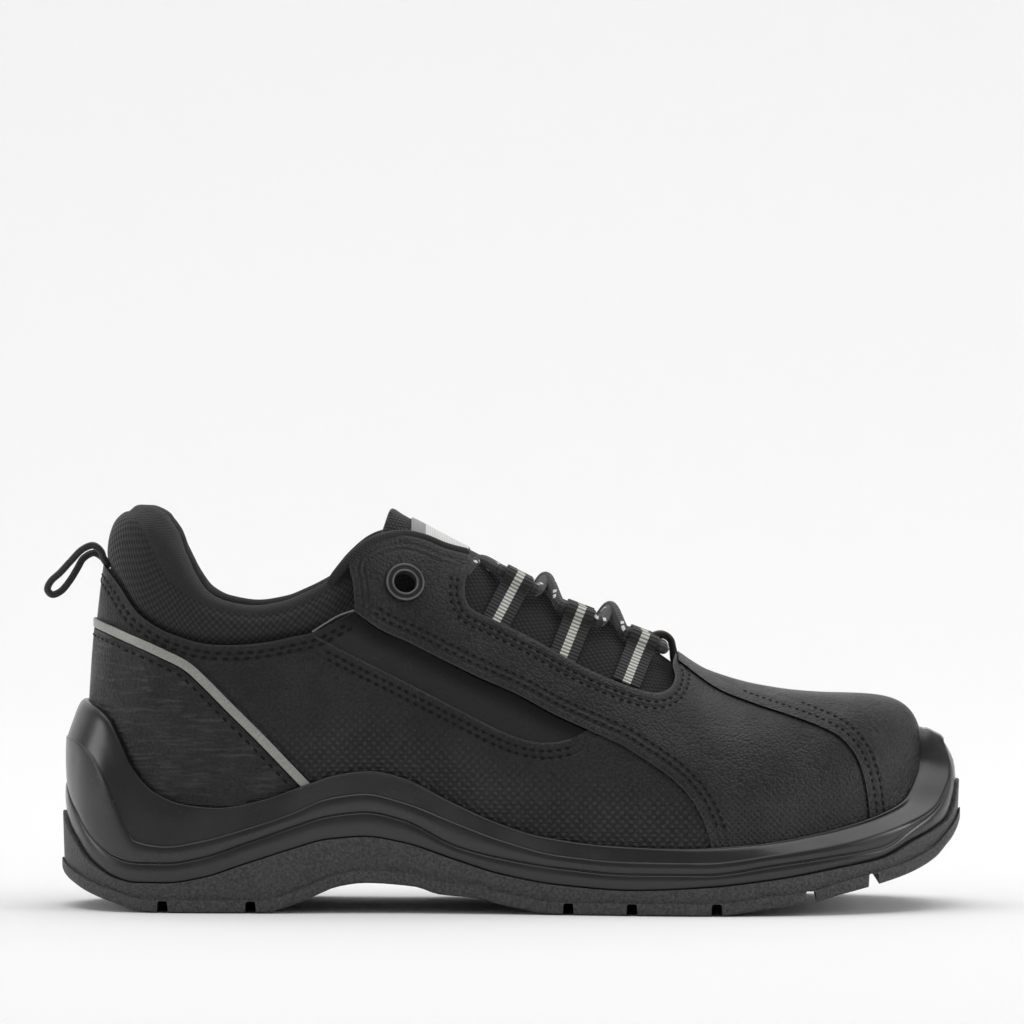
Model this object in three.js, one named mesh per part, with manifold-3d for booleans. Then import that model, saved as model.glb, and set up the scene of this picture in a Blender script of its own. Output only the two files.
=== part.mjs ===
// Low work shoe for the right foot, EU 42: injected sole, leather upper, padded collar and tongue.
// Millimetres. X runs from heel to toe, Y to the inner side of the foot, Z up from the floor.
import * as THREE from 'three';
import { mergeVertices } from 'three/addons/utils/BufferGeometryUtils.js';
import Module from 'manifold-3d';

const wasm = await Module();
wasm.setup();

// Sole
const soleLength = 302.8;
const soleBall = 109;
const soleHeel = 82;
const heelWrap = 69.6; // height of the midsole up the heel
const archHeight = 10.1; // clearance under the arch
const outsoleThickness = 6;
const treadStep = 4.2; // height of the step in the outsole's side
const treadBevel = 1.4;
const rimWidth = 2.6; // outsole rim that cups the midsole
const bedClearance = 0.55; // between outsole and midsole, whose beds curve
const midsoleInset = 1.5; // midsole side behind the outsole side
const grooveDepth = 1;
const lipThickness = 0.9;
const lugDepth = 3;
const channelWidth = 4.5;
const channelDraft = 0.6; // how much each channel wall leans

// Last, the form inside the leather
const heelSetback = 9.6; // from the sole's heel to the last's heel
const toeSetback = 14.1; // from the last's toe to the sole's toe
const lastLength = soleLength - heelSetback - toeSetback;
const lastBall = 95.5;
const lastHeel = 71;
const instepHeight = 136; // height of the last where the tongue ends
const seatHeight = 29; // height of the footbed at the heel

// Leather, textile and trim
const wall = 1.4;
const layer = 0.7; // one more thickness of leather on the wall
const gap = 0.3; // clearance between pieces that touch
const insoleThickness = 4;
const collarLow = 0.75 * instepHeight; // height of the collar at its lowest
const tonguePadding = 6.5;
const tongueTuck = 7; // how far the tongue goes under the leather
const webbingWidth = 9.5;
const webbingThickness = 0.8;
const webbingTuck = 1.8;
const laceDiameter = 4;
const eyeletFlange = 6.5; // radius
const eyeletHole = 3.8; // radius
const eyeletWall = 0.6;
const stripWidth = 3;
const stripThickness = 0.6;
const bindingDiameter = 3.2;
const labelThickness = 0.5;
const keeperWidth = 9;
const keeperThickness = 1;
const keeperHold = 8.5; // from the lace to the keeper's end on the vamp
const loopCordDiameter = 2.4;

// How finely the last and the sole are divided
const stations = 28; // along each side
const rows = 9; // from the feather edge to the ridge

// A table becomes rows of named columns.
function table(columns, values) {
  return values.map((row) => Object.fromEntries(columns.map((name, i) => [name, row[i]])));
}

// Outline from above: half widths as shares of the width at that place, heel to ball. The sole's inner
// side is fuller at the arch than the last's.
const plan = table(
  ['at', 'outer', 'inner', 'soleInner'],
  [
    [0, 0, 0, 0],
    [0.013, 0.207, 0.207, 0.207],
    [0.03, 0.31, 0.31, 0.31],
    [0.06, 0.41, 0.41, 0.41],
    [0.1, 0.47, 0.468, 0.468],
    [0.16, 0.503, 0.495, 0.497],
    [0.24, 0.51, 0.487, 0.492],
    [0.32, 0.465, 0.42, 0.43],
    [0.4, 0.432, 0.36, 0.374],
    [0.48, 0.426, 0.342, 0.36],
    [0.56, 0.455, 0.372, 0.392],
    [0.64, 0.495, 0.428, 0.446],
    [0.72, 0.515, 0.477, 0.484],
    [0.79, 0.5, 0.49, 0.49],
    [0.86, 0.447, 0.465, 0.465],
    [0.91, 0.377, 0.41, 0.41],
    [0.95, 0.288, 0.33, 0.33],
    [0.98, 0.188, 0.222, 0.222],
    [0.995, 0.095, 0.112, 0.112],
    [1, 0, 0, 0],
  ],
);

// Sections of the last, each slanting from a place on the footbed to a place on the ridge.
// at and ridgeAt are shares of the last's length, ridgeUp of the instep height, seat of the seat height.
const lastSections = table(
  ['at', 'ridgeAt', 'ridgeUp', 'ridgeIn', 'seat', 'fullness'],
  [
    [0, 0.127, 1.324, 0, 1, 2.2],
    [0.12, 0.163, 1.324, 0, 0.99, 2.2],
    [0.25, 0.252, 1.294, 0.005, 0.94, 2.3],
    [0.33, 0.317, 1.165, 0.01, 0.89, 2.45],
    [0.38, 0.36, 1.015, 0.015, 0.84, 2.45],
    [0.43, 0.41, 0.955, 0.02, 0.76, 2.3],
    [0.5, 0.489, 0.871, 0.025, 0.66, 2],
    [0.57, 0.568, 0.785, 0.03, 0.58, 1.85],
    [0.64, 0.639, 0.719, 0.03, 0.53, 1.78],
    [0.7, 0.697, 0.632, 0.03, 0.5, 1.8],
    [0.75, 0.747, 0.566, 0.03, 0.5, 1.95],
    [0.82, 0.804, 0.531, 0.025, 0.55, 2.25],
    [0.9, 0.847, 0.515, 0.02, 0.68, 2.7],
    [0.96, 0.869, 0.51, 0.01, 0.83, 3.5],
    [1, 0.876, 0.5096, 0, 0.93, 5],
  ],
);

// Lines along the side of the sole, as shares of the heel wrap's height: where the midsole meets
// the outsole, its groove, its crease and its wavy top.
const sideLines = table(
  ['at', 'rim', 'groove', 'crease', 'wave'],
  [
    [0, 0.46, 0.6, 0.82, 1],
    [0.013, 0.345, 0.477, 0.805, 0.973],
    [0.03, 0.249, 0.365, 0.754, 0.924],
    [0.045, 0.2, 0.305, 0.661, 0.819],
    [0.06, 0.165, 0.263, 0.524, 0.69],
    [0.085, 0.141, 0.237, 0.341, 0.576],
    [0.12, 0.141, 0.236, 0.319, 0.517],
    [0.16, 0.167, 0.264, 0.346, 0.503],
    [0.21, 0.237, 0.336, 0.407, 0.539],
    [0.26, 0.307, 0.412, 0.48, 0.608],
    [0.3, 0.353, 0.464, 0.55, 0.662],
    [0.34, 0.365, 0.483, 0.572, 0.68],
    [0.38, 0.338, 0.447, 0.533, 0.647],
    [0.44, 0.253, 0.322, 0.431, 0.53],
    [0.49, 0.187, 0.266, 0.351, 0.441],
    [0.55, 0.142, 0.224, 0.286, 0.369],
    [0.63, 0.119, 0.197, 0.257, 0.33],
    [0.71, 0.134, 0.197, 0.254, 0.319],
    [0.79, 0.172, 0.241, 0.293, 0.336],
    [0.86, 0.223, 0.282, 0.338, 0.378],
    [0.91, 0.264, 0.316, 0.388, 0.425],
    [0.945, 0.338, 0.405, 0.438, 0.471],
    [0.971, 0.391, 0.475, 0.5, 0.525],
    [0.986, 0.435, 0.56, 0.59, 0.62],
    [0.9937, 0.503, 0.66, 0.685, 0.705],
    [0.9965, 0.57, 0.74, 0.77, 0.8],
    [0.9988, 0.61, 0.787, 0.822, 0.858],
    [1, 0.613, 0.79, 0.826, 0.862],
  ],
);

// Underside of the outsole, as shares of the arch height: heel flat, arch, forefoot flat and toe spring
const treadLine = table(
  ['at', 'up'],
  [
    [0, 1.19],
    [0.013, 0.89],
    [0.03, 0.63],
    [0.06, 0.32],
    [0.105, 0],
    [0.225, 0],
    [0.26, 0.27],
    [0.285, 0.58],
    [0.31, 0.88],
    [0.34, 1],
    [0.395, 0.88],
    [0.42, 0.64],
    [0.464, 0.51],
    [0.49, 0.3],
    [0.557, 0],
    [0.72, 0],
    [0.79, 0.26],
    [0.82, 0.34],
    [0.86, 0.66],
    [0.907, 1],
    [0.94, 1.3],
    [0.967, 1.7],
    [0.985, 2.2],
    [1, 2.87],
  ],
);

// Gaps between the lugs: places along the sole, as shares of its length
const lugGaps = table(
  ['at', 'slant'],
  [
    [0.117, 0.06],
    [0.214, -0.06],
    [0.569, -0.12],
    [0.639, -0.12],
    [0.73, -0.12],
    [0.831, -0.12],
    [0.898, -0.12],
  ],
);

// Edge of the collar and throat, seen from the side: shares of the sole length and instep height
const openingEdge = table(
  ['at', 'up'],
  [
    [0.048, 0.842],
    [0.065, 0.8],
    [0.0875, 0.732],
    [0.113, 0.693],
    [0.138, 0.671],
    [0.163, 0.657],
    [0.196, 0.654],
    [0.234, 0.662],
    [0.259, 0.674],
    [0.282, 0.685],
    [0.306, 0.71],
    [0.3286, 0.7375],
  ],
);
const eyestayEdge = table(
  ['at', 'up'],
  [
    [0.3265, 0.8],
    [0.323, 0.862],
    [0.347, 0.904],
    [0.38, 0.92],
    [0.403, 0.91],
    [0.427, 0.888],
    [0.453, 0.872],
  ],
);
const throatEdge = table(
  ['at', 'up'],
  [
    [0.458, 0.858],
    [0.451, 0.82],
    [0.449, 0.78],
    [0.455, 0.744],
    [0.48, 0.715],
    [0.523, 0.668],
    [0.57, 0.609],
    [0.606, 0.572],
    [0.642, 0.543],
    [0.661, 0.535],
    [0.6755, 0.546],
    [0.6815, 0.572],
    [0.679, 0.6],
    [0.683, 0.625],
  ],
);

// Edges of the overlays, seen from the side, in the same shares
const recessTop = table(
  ['at', 'up'],
  [
    [0.3286, 0.735],
    [0.358, 0.69],
    [0.386, 0.662],
    [0.428, 0.615],
    [0.466, 0.574],
    [0.506, 0.535],
    [0.548, 0.485],
    [0.585, 0.448],
  ],
);
const recessBottom = table(
  ['at', 'up'],
  [
    [0.565, 0.426],
    [0.543, 0.417],
    [0.52, 0.421],
    [0.492, 0.442],
    [0.458, 0.479],
    [0.414, 0.53],
    [0.358, 0.593],
    [0.316, 0.64],
    [0.282, 0.68],
  ],
);
const vampSeam = table(
  ['at', 'up'],
  [
    [0.62, 0.414],
    [0.641, 0.385],
    [0.673, 0.337],
    [0.6945, 0.29],
    [0.708, 0.242],
    [0.719, 0.17],
    [0.724, 0.05],
  ],
);
const toeSeam = table(
  ['at', 'up'],
  [
    [0.686, 0.61],
    [0.727, 0.545],
    [0.7665, 0.51],
    [0.806, 0.482],
    [0.8385, 0.456],
    [0.86, 0.432],
    [0.876, 0.396],
    [0.886, 0.349],
    [0.892, 0.29],
    [0.895, 0.224],
    [0.896, 0.05],
  ],
);
const stripLine = table(
  ['at', 'up'],
  [
    [0.0, 0.714],
    [0.0357, 0.702],
    [0.082, 0.665],
    [0.118, 0.631],
    [0.143, 0.603],
    [0.163, 0.564],
    [0.1885, 0.507],
    [0.224, 0.429],
    [0.2595, 0.347],
  ],
);

// Edge of the tongue in the same shares: its free top and side, and its end under the vamp
const tongueEdge = table(
  ['at', 'up'],
  [
    [0.372, 1.03],
    [0.352, 0.895],
    [0.37, 0.862],
    [0.41, 0.85],
    [0.437, 0.78],
  ],
);
const tongueToe = table(
  ['at', 'up'],
  [
    [0.69, 0.5],
    [0.7, 0.56],
  ],
);

const eyestayBack = { at: 0.31, up: 0.76 }; // back end of the eyestay overlay
const counterRun = 4.7; // how far the counter runs on past the strip, under the midsole's edge

// Collar: top of the roll as a share of its lowest height, thickness of its padding, how far its top
// leans in and how far its side stands out
const collarSections = table(
  ['at', 'top', 'padding', 'lean', 'bulge'],
  [
    [0, 1.323, 13, 4, 0.2],
    [0.02, 1.32, 13, 4, 0.2],
    [0.05, 1.3, 12.5, 3.6, 0.3],
    [0.08, 1.25, 11.5, 3, 0.4],
    [0.1, 1.185, 11, 2.4, 0.5],
    [0.12, 1.105, 10.5, 1.8, 0.6],
    [0.14, 1.045, 10, 1.4, 0.6],
    [0.165, 1.014, 9.5, 1, 0.6],
    [0.2, 1, 9.5, 1, 0.6],
    [0.23, 1.012, 9.5, 1, 0.6],
    [0.26, 1.04, 9, 0.8, 0.4],
    [0.29, 1.08, 8.5, 0.4, -0.6],
    [0.312, 1.118, 8, 0, -1.75],
    [0.328, 1.145, 7.5, 0, -1.75],
  ],
);

// Webbing loops: where each leaves the leather and where its eye lies, in the same shares
const loops = table(
  ['at', 'up', 'eyeAt', 'eyeUp'],
  [
    [0.4835, 0.71, 0.5025, 0.789],
    [0.558, 0.627, 0.5725, 0.705],
    [0.6285, 0.566, 0.6405, 0.64],
  ],
);

// Share of the perimeter, from the share of the length, so that ends come out round
function turn(at) {
  return Math.acos(1 - 2 * at) / Math.PI;
}

// A column as a smooth line that never overshoots its rows. Its ends are level, or steep for a half width.
function line(sections, column, steep = false) {
  const u = sections.map((row) => turn(row.at));
  const v = sections.map((row) => row[column]);
  const end = u.length - 1;
  const rise = u.slice(1).map((next, i) => (v[i + 1] - v[i]) / (next - u[i]));
  const slope = v.map((value, i) => {
    if (i === 0) return steep ? rise[0] : 0;
    if (i === end) return steep ? rise[end - 1] : 0;
    if (rise[i - 1] * rise[i] <= 0) return 0;
    return (2 * rise[i - 1] * rise[i]) / (rise[i - 1] + rise[i]);
  });
  return (at) => {
    const t = turn(Math.min(Math.max(at, 0), 1));
    let i = 0;
    while (i < end - 1 && t > u[i + 1]) i += 1;
    const step = u[i + 1] - u[i];
    const s = Math.min(Math.max((t - u[i]) / step, 0), 1);
    const a = v[i] * (1 + 2 * s) * (1 - s) ** 2 + slope[i] * step * s * (1 - s) ** 2;
    const b = v[i + 1] * s * s * (3 - 2 * s) - slope[i + 1] * step * s * s * (1 - s);
    return a + b;
  };
}

const outer = line(plan, 'outer', true);
const inner = line(plan, 'inner', true);
const soleInner = line(plan, 'soleInner', true);
const last = { start: heelSetback, length: lastLength, heel: lastHeel, ball: lastBall, outer, inner };
const sole = { start: 0, length: soleLength, heel: soleHeel, ball: soleBall, outer, inner: soleInner };

// Point of an outline from above. Side is -1 on the outer side of the foot and 1 on the inner side.
function edgePoint(shape, at, side) {
  const width = THREE.MathUtils.lerp(shape.heel, shape.ball, THREE.MathUtils.smoothstep(at, 0.2, 0.55));
  const half = side < 0 ? shape.outer(at) : shape.inner(at);
  return new THREE.Vector2(shape.start + shape.length * at, side * width * half);
}

// The same outline moved outward by a distance
function outline(shape, at, side, out) {
  const here = edgePoint(shape, at, side);
  if (at <= 0) return here.add(new THREE.Vector2(-out, 0));
  if (at >= 1) return here.add(new THREE.Vector2(out, 0));
  const step = Math.min(0.002, at / 2, (1 - at) / 2);
  const along = edgePoint(shape, at + step, side).sub(edgePoint(shape, at - step, side)).normalize();
  return here.add(new THREE.Vector2(-side * along.y, side * along.x).multiplyScalar(out));
}

// Places along each side, close together at the heel and closest at the toe
const places = Array.from({ length: stations + 1 }, (unused, i) => {
  const share = i / stations;
  const round = share + (0.25 / (2 * Math.PI)) * Math.sin(2 * Math.PI * share);
  return (1 - Math.cos(Math.PI * (1 - (1 - round) ** 1.25))) / 2;
});

// A closed ring round the foot, from the heel along the outer side to the toe and back along the inner side
function ring(pointAt) {
  const out = places.map((at) => pointAt(at, -1));
  const back = places.slice(1, -1).reverse().map((at) => pointAt(at, 1));
  return [...out, ...back];
}

// A ring drawn in to the middle line, where the two sides meet
function middle(pointAt, height) {
  return ring((at) => {
    const point = pointAt(at, -1).clone().lerp(pointAt(at, 1), 0.5);
    if (height) point.z = height(point.x, at);
    return point;
  });
}

function geometryOf(positions) {
  const skin = new THREE.BufferGeometry();
  skin.setAttribute('position', new THREE.Float32BufferAttribute(positions, 3));
  return skin;
}

// Rings joined one above the other into one closed skin
function loft(rings) {
  const positions = [];
  const add = (...points) => points.forEach((point) => positions.push(point.x, point.y, point.z));
  for (let r = 0; r < rings.length - 1; r += 1) {
    const [low, high] = [rings[r], rings[r + 1]];
    low.forEach((point, i) => {
      const next = (i + 1) % low.length;
      add(point, low[next], high[next], point, high[next], high[i]);
    });
  }
  return geometryOf(positions);
}

// Sections swept one after the other, closed at both ends
function sweep(sections, flatOutline) {
  const positions = [];
  const add = (...points) => points.forEach((point) => positions.push(point.x, point.y, point.z));
  for (let s = 0; s < sections.length - 1; s += 1) {
    const [here, there] = [sections[s], sections[s + 1]];
    here.forEach((point, i) => {
      const next = (i + 1) % here.length;
      add(point, here[next], there[next], point, there[next], there[i]);
    });
  }
  const start = sections[0];
  const end = sections[sections.length - 1];
  THREE.ShapeUtils.triangulateShape(flatOutline, []).forEach(([a, b, c]) => {
    add(start[a], start[c], start[b]);
    add(end[a], end[b], end[c]);
  });
  return geometryOf(positions);
}

// A geometry as a solid that can be joined and cut
function solid(shape) {
  const bare = shape.index ? shape.toNonIndexed() : shape.clone();
  bare.deleteAttribute('normal');
  bare.deleteAttribute('uv');
  const merged = mergeVertices(bare, 1e-4);
  const corners = merged.index.array;
  const kept = [];
  for (let i = 0; i < corners.length; i += 3) {
    const [a, b, c] = [corners[i], corners[i + 1], corners[i + 2]];
    if (a !== b && b !== c && c !== a) kept.push(a, b, c);
  }
  const build = (triVerts) => new wasm.Manifold(
    new wasm.Mesh({
      numProp: 3,
      vertProperties: merged.attributes.position.array,
      triVerts: new Uint32Array(triVerts),
    }),
  );
  const made = build(kept);
  return made.volume() < 0 ? build(kept.reverse()) : made;
}

// A solid back as a geometry
function geometry(body) {
  const mesh = body.getMesh();
  const result = new THREE.BufferGeometry();
  result.setAttribute('position', new THREE.BufferAttribute(new Float32Array(mesh.vertProperties), 3));
  result.setIndex(new THREE.BufferAttribute(new Uint32Array(mesh.triVerts), 1));
  result.computeVertexNormals();
  return result;
}

const ridgeAt = line(lastSections, 'ridgeAt');
const ridgeUp = line(lastSections, 'ridgeUp');
const ridgeIn = line(lastSections, 'ridgeIn');
const seatUp = line(lastSections, 'seat');
const fullness = line(lastSections, 'fullness');

// Point of the last: up is 0 at the feather edge and 1 on the ridge, out is the distance outside the last
function lastPoint(at, side, up, out) {
  const low = outline(last, at, side, out);
  const seat = seatHeight * seatUp(at);
  const ridge = new THREE.Vector3(
    heelSetback + lastLength * ridgeAt(at),
    lastBall * ridgeIn(at),
    instepHeight * ridgeUp(at) + out,
  );
  const full = fullness(at);
  const spread = (1 - up ** full) ** (1 / full);
  return new THREE.Vector3(
    ridge.x + (low.x - ridge.x) * spread,
    ridge.y + (low.y - ridge.y) * spread,
    seat + (ridge.z - seat) * up,
  );
}

// Point of the last at a height
function lastAtHeight(at, side, height, out) {
  const seat = seatHeight * seatUp(at);
  const top = instepHeight * ridgeUp(at) + out;
  return lastPoint(at, side, Math.min(Math.max((height - seat) / (top - seat), 0), 1), out);
}

// Point of the last that shows at x and z from the side
function lastSeen(x, z, side, out) {
  let [low, high] = [0, 1];
  for (let i = 0; i < 40; i += 1) {
    const mid = (low + high) / 2;
    if (lastAtHeight(mid, side, z, out).x < x) low = mid;
    else high = mid;
  }
  return lastAtHeight(low, side, z, out);
}

// The last as a solid, grown by out, reaching down by drop below the feather edge
function lastSolid(out, drop = 0) {
  const foot = (at, side) => {
    const point = lastPoint(at, side, 0, out);
    point.z -= drop;
    return point;
  };
  const rings = [middle(foot), ring(foot)];
  if (drop > 0) rings.push(ring((at, side) => lastPoint(at, side, 0, out)));
  for (let row = 1; row < rows; row += 1) {
    const angle = ((row / rows) * Math.PI) / 2;
    rings.push(ring((at, side) => lastPoint(at, side, Math.sin(angle) ** (2 / fullness(at)), out)));
  }
  rings.push(ring((at, side) => lastPoint(at, side, 1, out)));
  return solid(loft(rings));
}

// Places on the side view from a table
function sidePoints(outlineRows, shift = 0) {
  return outlineRows.map((row) => new THREE.Vector2(soleLength * row.at + shift, instepHeight * row.up));
}

// An outline seen from the side, pushed right through the shoe
const reach = 90; // half of the push
const far = 400; // outside the shoe
function pushed(points) {
  const push = { depth: 2 * reach, bevelEnabled: false };
  const shape = new THREE.ExtrudeGeometry(new THREE.Shape(points), push);
  return shape.rotateX(Math.PI / 2).translate(0, reach, 0);
}
const prism = (points) => solid(pushed(points));
const v2 = (x, z) => new THREE.Vector2(x, z);

// Overlays: the vamp with the eyestay lies on the quarter, the toe cap on the vamp, the counter on the
// quarter, and the slanting panel is sunk between quarter and eyestay. Grow widens each for clearance.
function upperOutside(grow) {
  const recess = [...sidePoints(recessTop, -grow), ...sidePoints(recessBottom, grow)];
  const vamp = [
    ...sidePoints(recessTop, -grow),
    ...sidePoints(vampSeam, -grow),
    v2(far, -far),
    v2(far, far),
    v2(soleLength * eyestayBack.at - grow, far),
    v2(soleLength * eyestayBack.at - grow, instepHeight * eyestayBack.up),
  ];
  const toe = [
    ...sidePoints(toeSeam, -grow),
    v2(far, -far),
    v2(far, far),
    v2(soleLength * toeSeam[0].at - grow, far),
  ];
  const below = stripWidth / 2;
  const stripLow = sidePoints(stripLine).map((point) => v2(point.x - below + grow, point.y - below));
  const counterEnd = stripLow[stripLow.length - 1].x + counterRun;
  const counter = [...stripLow, v2(counterEnd, -far), v2(-far, -far), v2(-far, stripLow[0].y)];
  const base = grow > 0
    ? lastSolid(layer + grow, gap)
    : lastSolid(layer).subtract(lastSolid(3 * layer).subtract(lastSolid(0)).intersect(prism(recess)));
  const drop = grow > 0 ? gap : 0;
  return base
    .add(lastSolid(2 * layer + grow, drop).intersect(prism(vamp)))
    .add(lastSolid(3 * layer + grow, drop).intersect(prism(toe)))
    .add(lastSolid(2 * layer + grow, drop).intersect(prism(counter)));
}

// Opening of collar and throat, seen from the side
function openingPrism() {
  return prism([
    v2(-far, instepHeight * openingEdge[0].up),
    ...sidePoints(openingEdge),
    ...sidePoints(eyestayEdge),
    ...sidePoints(throatEdge),
    v2(soleLength * (throatEdge[throatEdge.length - 1].at + 0.007), far),
    v2(-far, far),
  ]);
}

const outside = upperOutside(0);
const colours = {
  leather: 0x303030,
  textile: 0x2b2b2b,
  midsole: 0x3a3533,
  outsole: 0x424242,
  grey: 0x8f8f8a,
  webbing: 0xb9b9b1,
  foam: 0x3b3b3d,
  keeper: 0x4a3a34,
  lace: 0x1d1d1d,
  label: 0xd8d8d4,
  metal: 0x3a3a3c,
};
const group = new THREE.Group();

// Adds a named piece in its material
function piece(name, shape, colour, roughness, metalness = 0) {
  const material = new THREE.MeshStandardMaterial({ color: colour, roughness, metalness });
  const mesh = new THREE.Mesh(shape, material);
  mesh.name = name;
  group.add(mesh);
}

// Outsole, with a rim that cups the midsole, and lugs between cross channels
const tread = line(treadLine, 'up');
const treadAt = (x) => archHeight * tread(x / soleLength);
const sideLine = (column) => {
  const share = line(sideLines, column);
  return (at) => heelWrap * share(at);
};
const rimUp = sideLine('rim');
const grooveUp = sideLine('groove');
const creaseUp = sideLine('crease');
const waveUp = sideLine('wave');
const innerRimInset = rimWidth + 2;

function solePoint(inset, height) {
  return (at, side) => {
    const { x, y } = outline(sole, at, side, -inset);
    return new THREE.Vector3(x, y, height(x, at));
  };
}

function interfaceUp(x, at) {
  return Math.min(rimUp(at), treadAt(x) + outsoleThickness);
}

function makeOutsole() {
  const under = solePoint(treadBevel, (x) => treadAt(x));
  const bed = solePoint(innerRimInset, interfaceUp);
  const rings = [
    middle(under, (x) => treadAt(x)),
    ring(under),
    ring(solePoint(0, (x) => treadAt(x) + treadBevel)),
    ring(solePoint(0, (x) => treadAt(x) + treadStep)),
    ring(solePoint(0.9, (x) => treadAt(x) + treadStep + 0.5)),
    ring(solePoint(0.3, (x, at) => rimUp(at))),
    ring(solePoint(rimWidth, (x, at) => rimUp(at))),
    ring(bed),
    middle(bed, interfaceUp),
  ];
  let body = solid(loft(rings));
  lugGaps.forEach((row) => {
    const x = soleLength * row.at;
    const low = channelWidth / 2 + channelDraft;
    const high = channelWidth / 2 - channelDraft;
    const height = treadAt(x) + lugDepth;
    const cutter = pushed([v2(-low, -far), v2(low, -far), v2(high, height), v2(-high, height)]);
    body = body.subtract(solid(cutter.rotateZ(row.slant).translate(x, 0, 0)));
  });
  const middleChannel = new THREE.BoxGeometry(soleLength * 0.9, channelWidth, 2 * lugDepth);
  middleChannel.translate(soleLength * 0.5, 0, 0);
  return body.subtract(solid(middleChannel));
}
piece('outsole', geometry(makeOutsole()), colours.outsole, 0.85);

// Midsole: a cup round the upper with a groove, a crease and a wavy top
function makeMidsole() {
  const floorUp = (x, at) => interfaceUp(x, at) + bedClearance;
  const bed = solePoint(innerRimInset + bedClearance, floorUp);
  const lip = (at, side) => lastAtHeight(at, side, waveUp(at), 3 * layer + gap + lipThickness);
  const grooveHalf = (at) => Math.min(0.9, 0.3 * (creaseUp(at) - grooveUp(at)));
  const between = (share, bulge) => (at, side) => {
    const low = solePoint(midsoleInset + 0.4, (x, place) => creaseUp(place))(at, side);
    const high = lip(at, side);
    const point = low.clone().lerp(high, share);
    const inward = share - bulge;
    point.x = THREE.MathUtils.lerp(low.x, high.x, inward);
    point.y = THREE.MathUtils.lerp(low.y, high.y, inward);
    return point;
  };
  const rings = [
    middle(bed, floorUp),
    ring(bed),
    ring(solePoint(rimWidth + bedClearance, (x, at) => rimUp(at) + bedClearance)),
    ring(solePoint(midsoleInset, (x, at) => rimUp(at) + bedClearance)),
    ring(solePoint(midsoleInset - 0.3, (x, at) => grooveUp(at) - grooveHalf(at))),
    ring(solePoint(midsoleInset + grooveDepth, (x, at) => grooveUp(at))),
    ring(solePoint(midsoleInset - 0.2, (x, at) => grooveUp(at) + grooveHalf(at))),
    ring(solePoint(midsoleInset, (x, at) => creaseUp(at) - grooveHalf(at))),
    ring(solePoint(midsoleInset + grooveDepth, (x, at) => creaseUp(at))),
    ring(between(0.3, 0.22)),
    ring(between(0.65, 0.26)),
    ring(between(0.9, 0.14)),
    ring(lip),
    middle(lip),
  ];
  return solid(loft(rings)).subtract(upperOutside(gap));
}
piece('midsole', geometry(makeMidsole()), colours.midsole, 0.4);

// Insole, on the floor of the midsole inside the leather
function makeInsole() {
  const level = (rise) => (at, side) => {
    const height = seatHeight * seatUp(at) + rise;
    return lastAtHeight(at, side, height, -wall - 2 * gap);
  };
  const low = level(gap);
  const high = level(gap + insoleThickness);
  return solid(loft([middle(low), ring(low), ring(high), middle(high)]));
}
piece('insole', geometry(makeInsole()), colours.foam, 0.9);

// Eyelets: a rolled ring through a clearance hole in each eyestay
const eyeletAt = v2(soleLength * 0.383, instepHeight * 0.806);

// Point of the last at a side-view place, and the outward normal there
function skinFrame(x, z, side, out) {
  const here = lastSeen(x, z, side, out);
  const higher = lastSeen(x + 0.5, z + 1, side, out).sub(here).normalize();
  const forward = lastSeen(x + 1, z - 0.5, side, out).sub(here).normalize();
  const normal = new THREE.Vector3().crossVectors(forward, higher).normalize();
  if (normal.y * side < 0) normal.negate();
  return { here, normal };
}

// A shape whose axis is Y, set along a normal at a place
function standOn(shape, place, normal) {
  const turnTo = new THREE.Quaternion().setFromUnitVectors(new THREE.Vector3(0, 1, 0), normal);
  return shape.applyQuaternion(turnTo).translate(place.x, place.y, place.z);
}

let leather = outside.subtract(lastSolid(-wall, 12)).subtract(openingPrism());
[['lateral', -1], ['medial', 1]].forEach(([name, side]) => {
  const { here, normal } = skinFrame(eyeletAt.x, eyeletAt.y, side, 2 * layer);
  const outerWall = eyeletHole + eyeletWall;
  const drill = new THREE.CylinderGeometry(outerWall + gap, outerWall + gap, 16, 16);
  leather = leather.subtract(solid(standOn(drill, here, normal)));
  const seat = new THREE.CylinderGeometry(eyeletFlange + gap, eyeletFlange + gap, 4, 16);
  leather = leather.subtract(solid(standOn(seat.translate(0, 2, 0), here, normal)));
  const back = -2 * layer - wall - gap;
  const profile = [
    v2(eyeletHole, back),
    v2(outerWall, back),
    v2(outerWall, gap),
    v2(eyeletFlange, gap),
    v2(eyeletFlange - 0.2, gap + 0.6),
    v2(eyeletFlange - 1.2, gap + 1),
    v2(eyeletHole + 0.5, gap + 0.9),
    v2(eyeletHole, gap + 0.3),
  ];
  const rolled = new THREE.LatheGeometry([...profile, profile[0]], 16);
  piece(`eyelet_${name}`, standOn(rolled, here, normal), colours.metal, 0.4, 0.6);
});
piece('upper', geometry(leather), colours.leather, 0.6);

// Reflective strip, round the heel and down both quarters, on the quarter and above the counter
function makeStrip() {
  const middleLine = sidePoints(stripLine);
  const clear = stripWidth / 2 - gap;
  const low = middleLine.map((point) => v2(point.x - clear, point.y - clear));
  const high = middleLine.map((point) => v2(point.x + clear, point.y + clear)).reverse();
  const band = prism([v2(-far, low[0].y), ...low, ...high, v2(-far, high[high.length - 1].y)]);
  return lastSolid(layer + gap + stripThickness).subtract(lastSolid(layer + gap)).intersect(band);
}
piece('reflective_strip', geometry(makeStrip()), colours.grey, 0.5);

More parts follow.
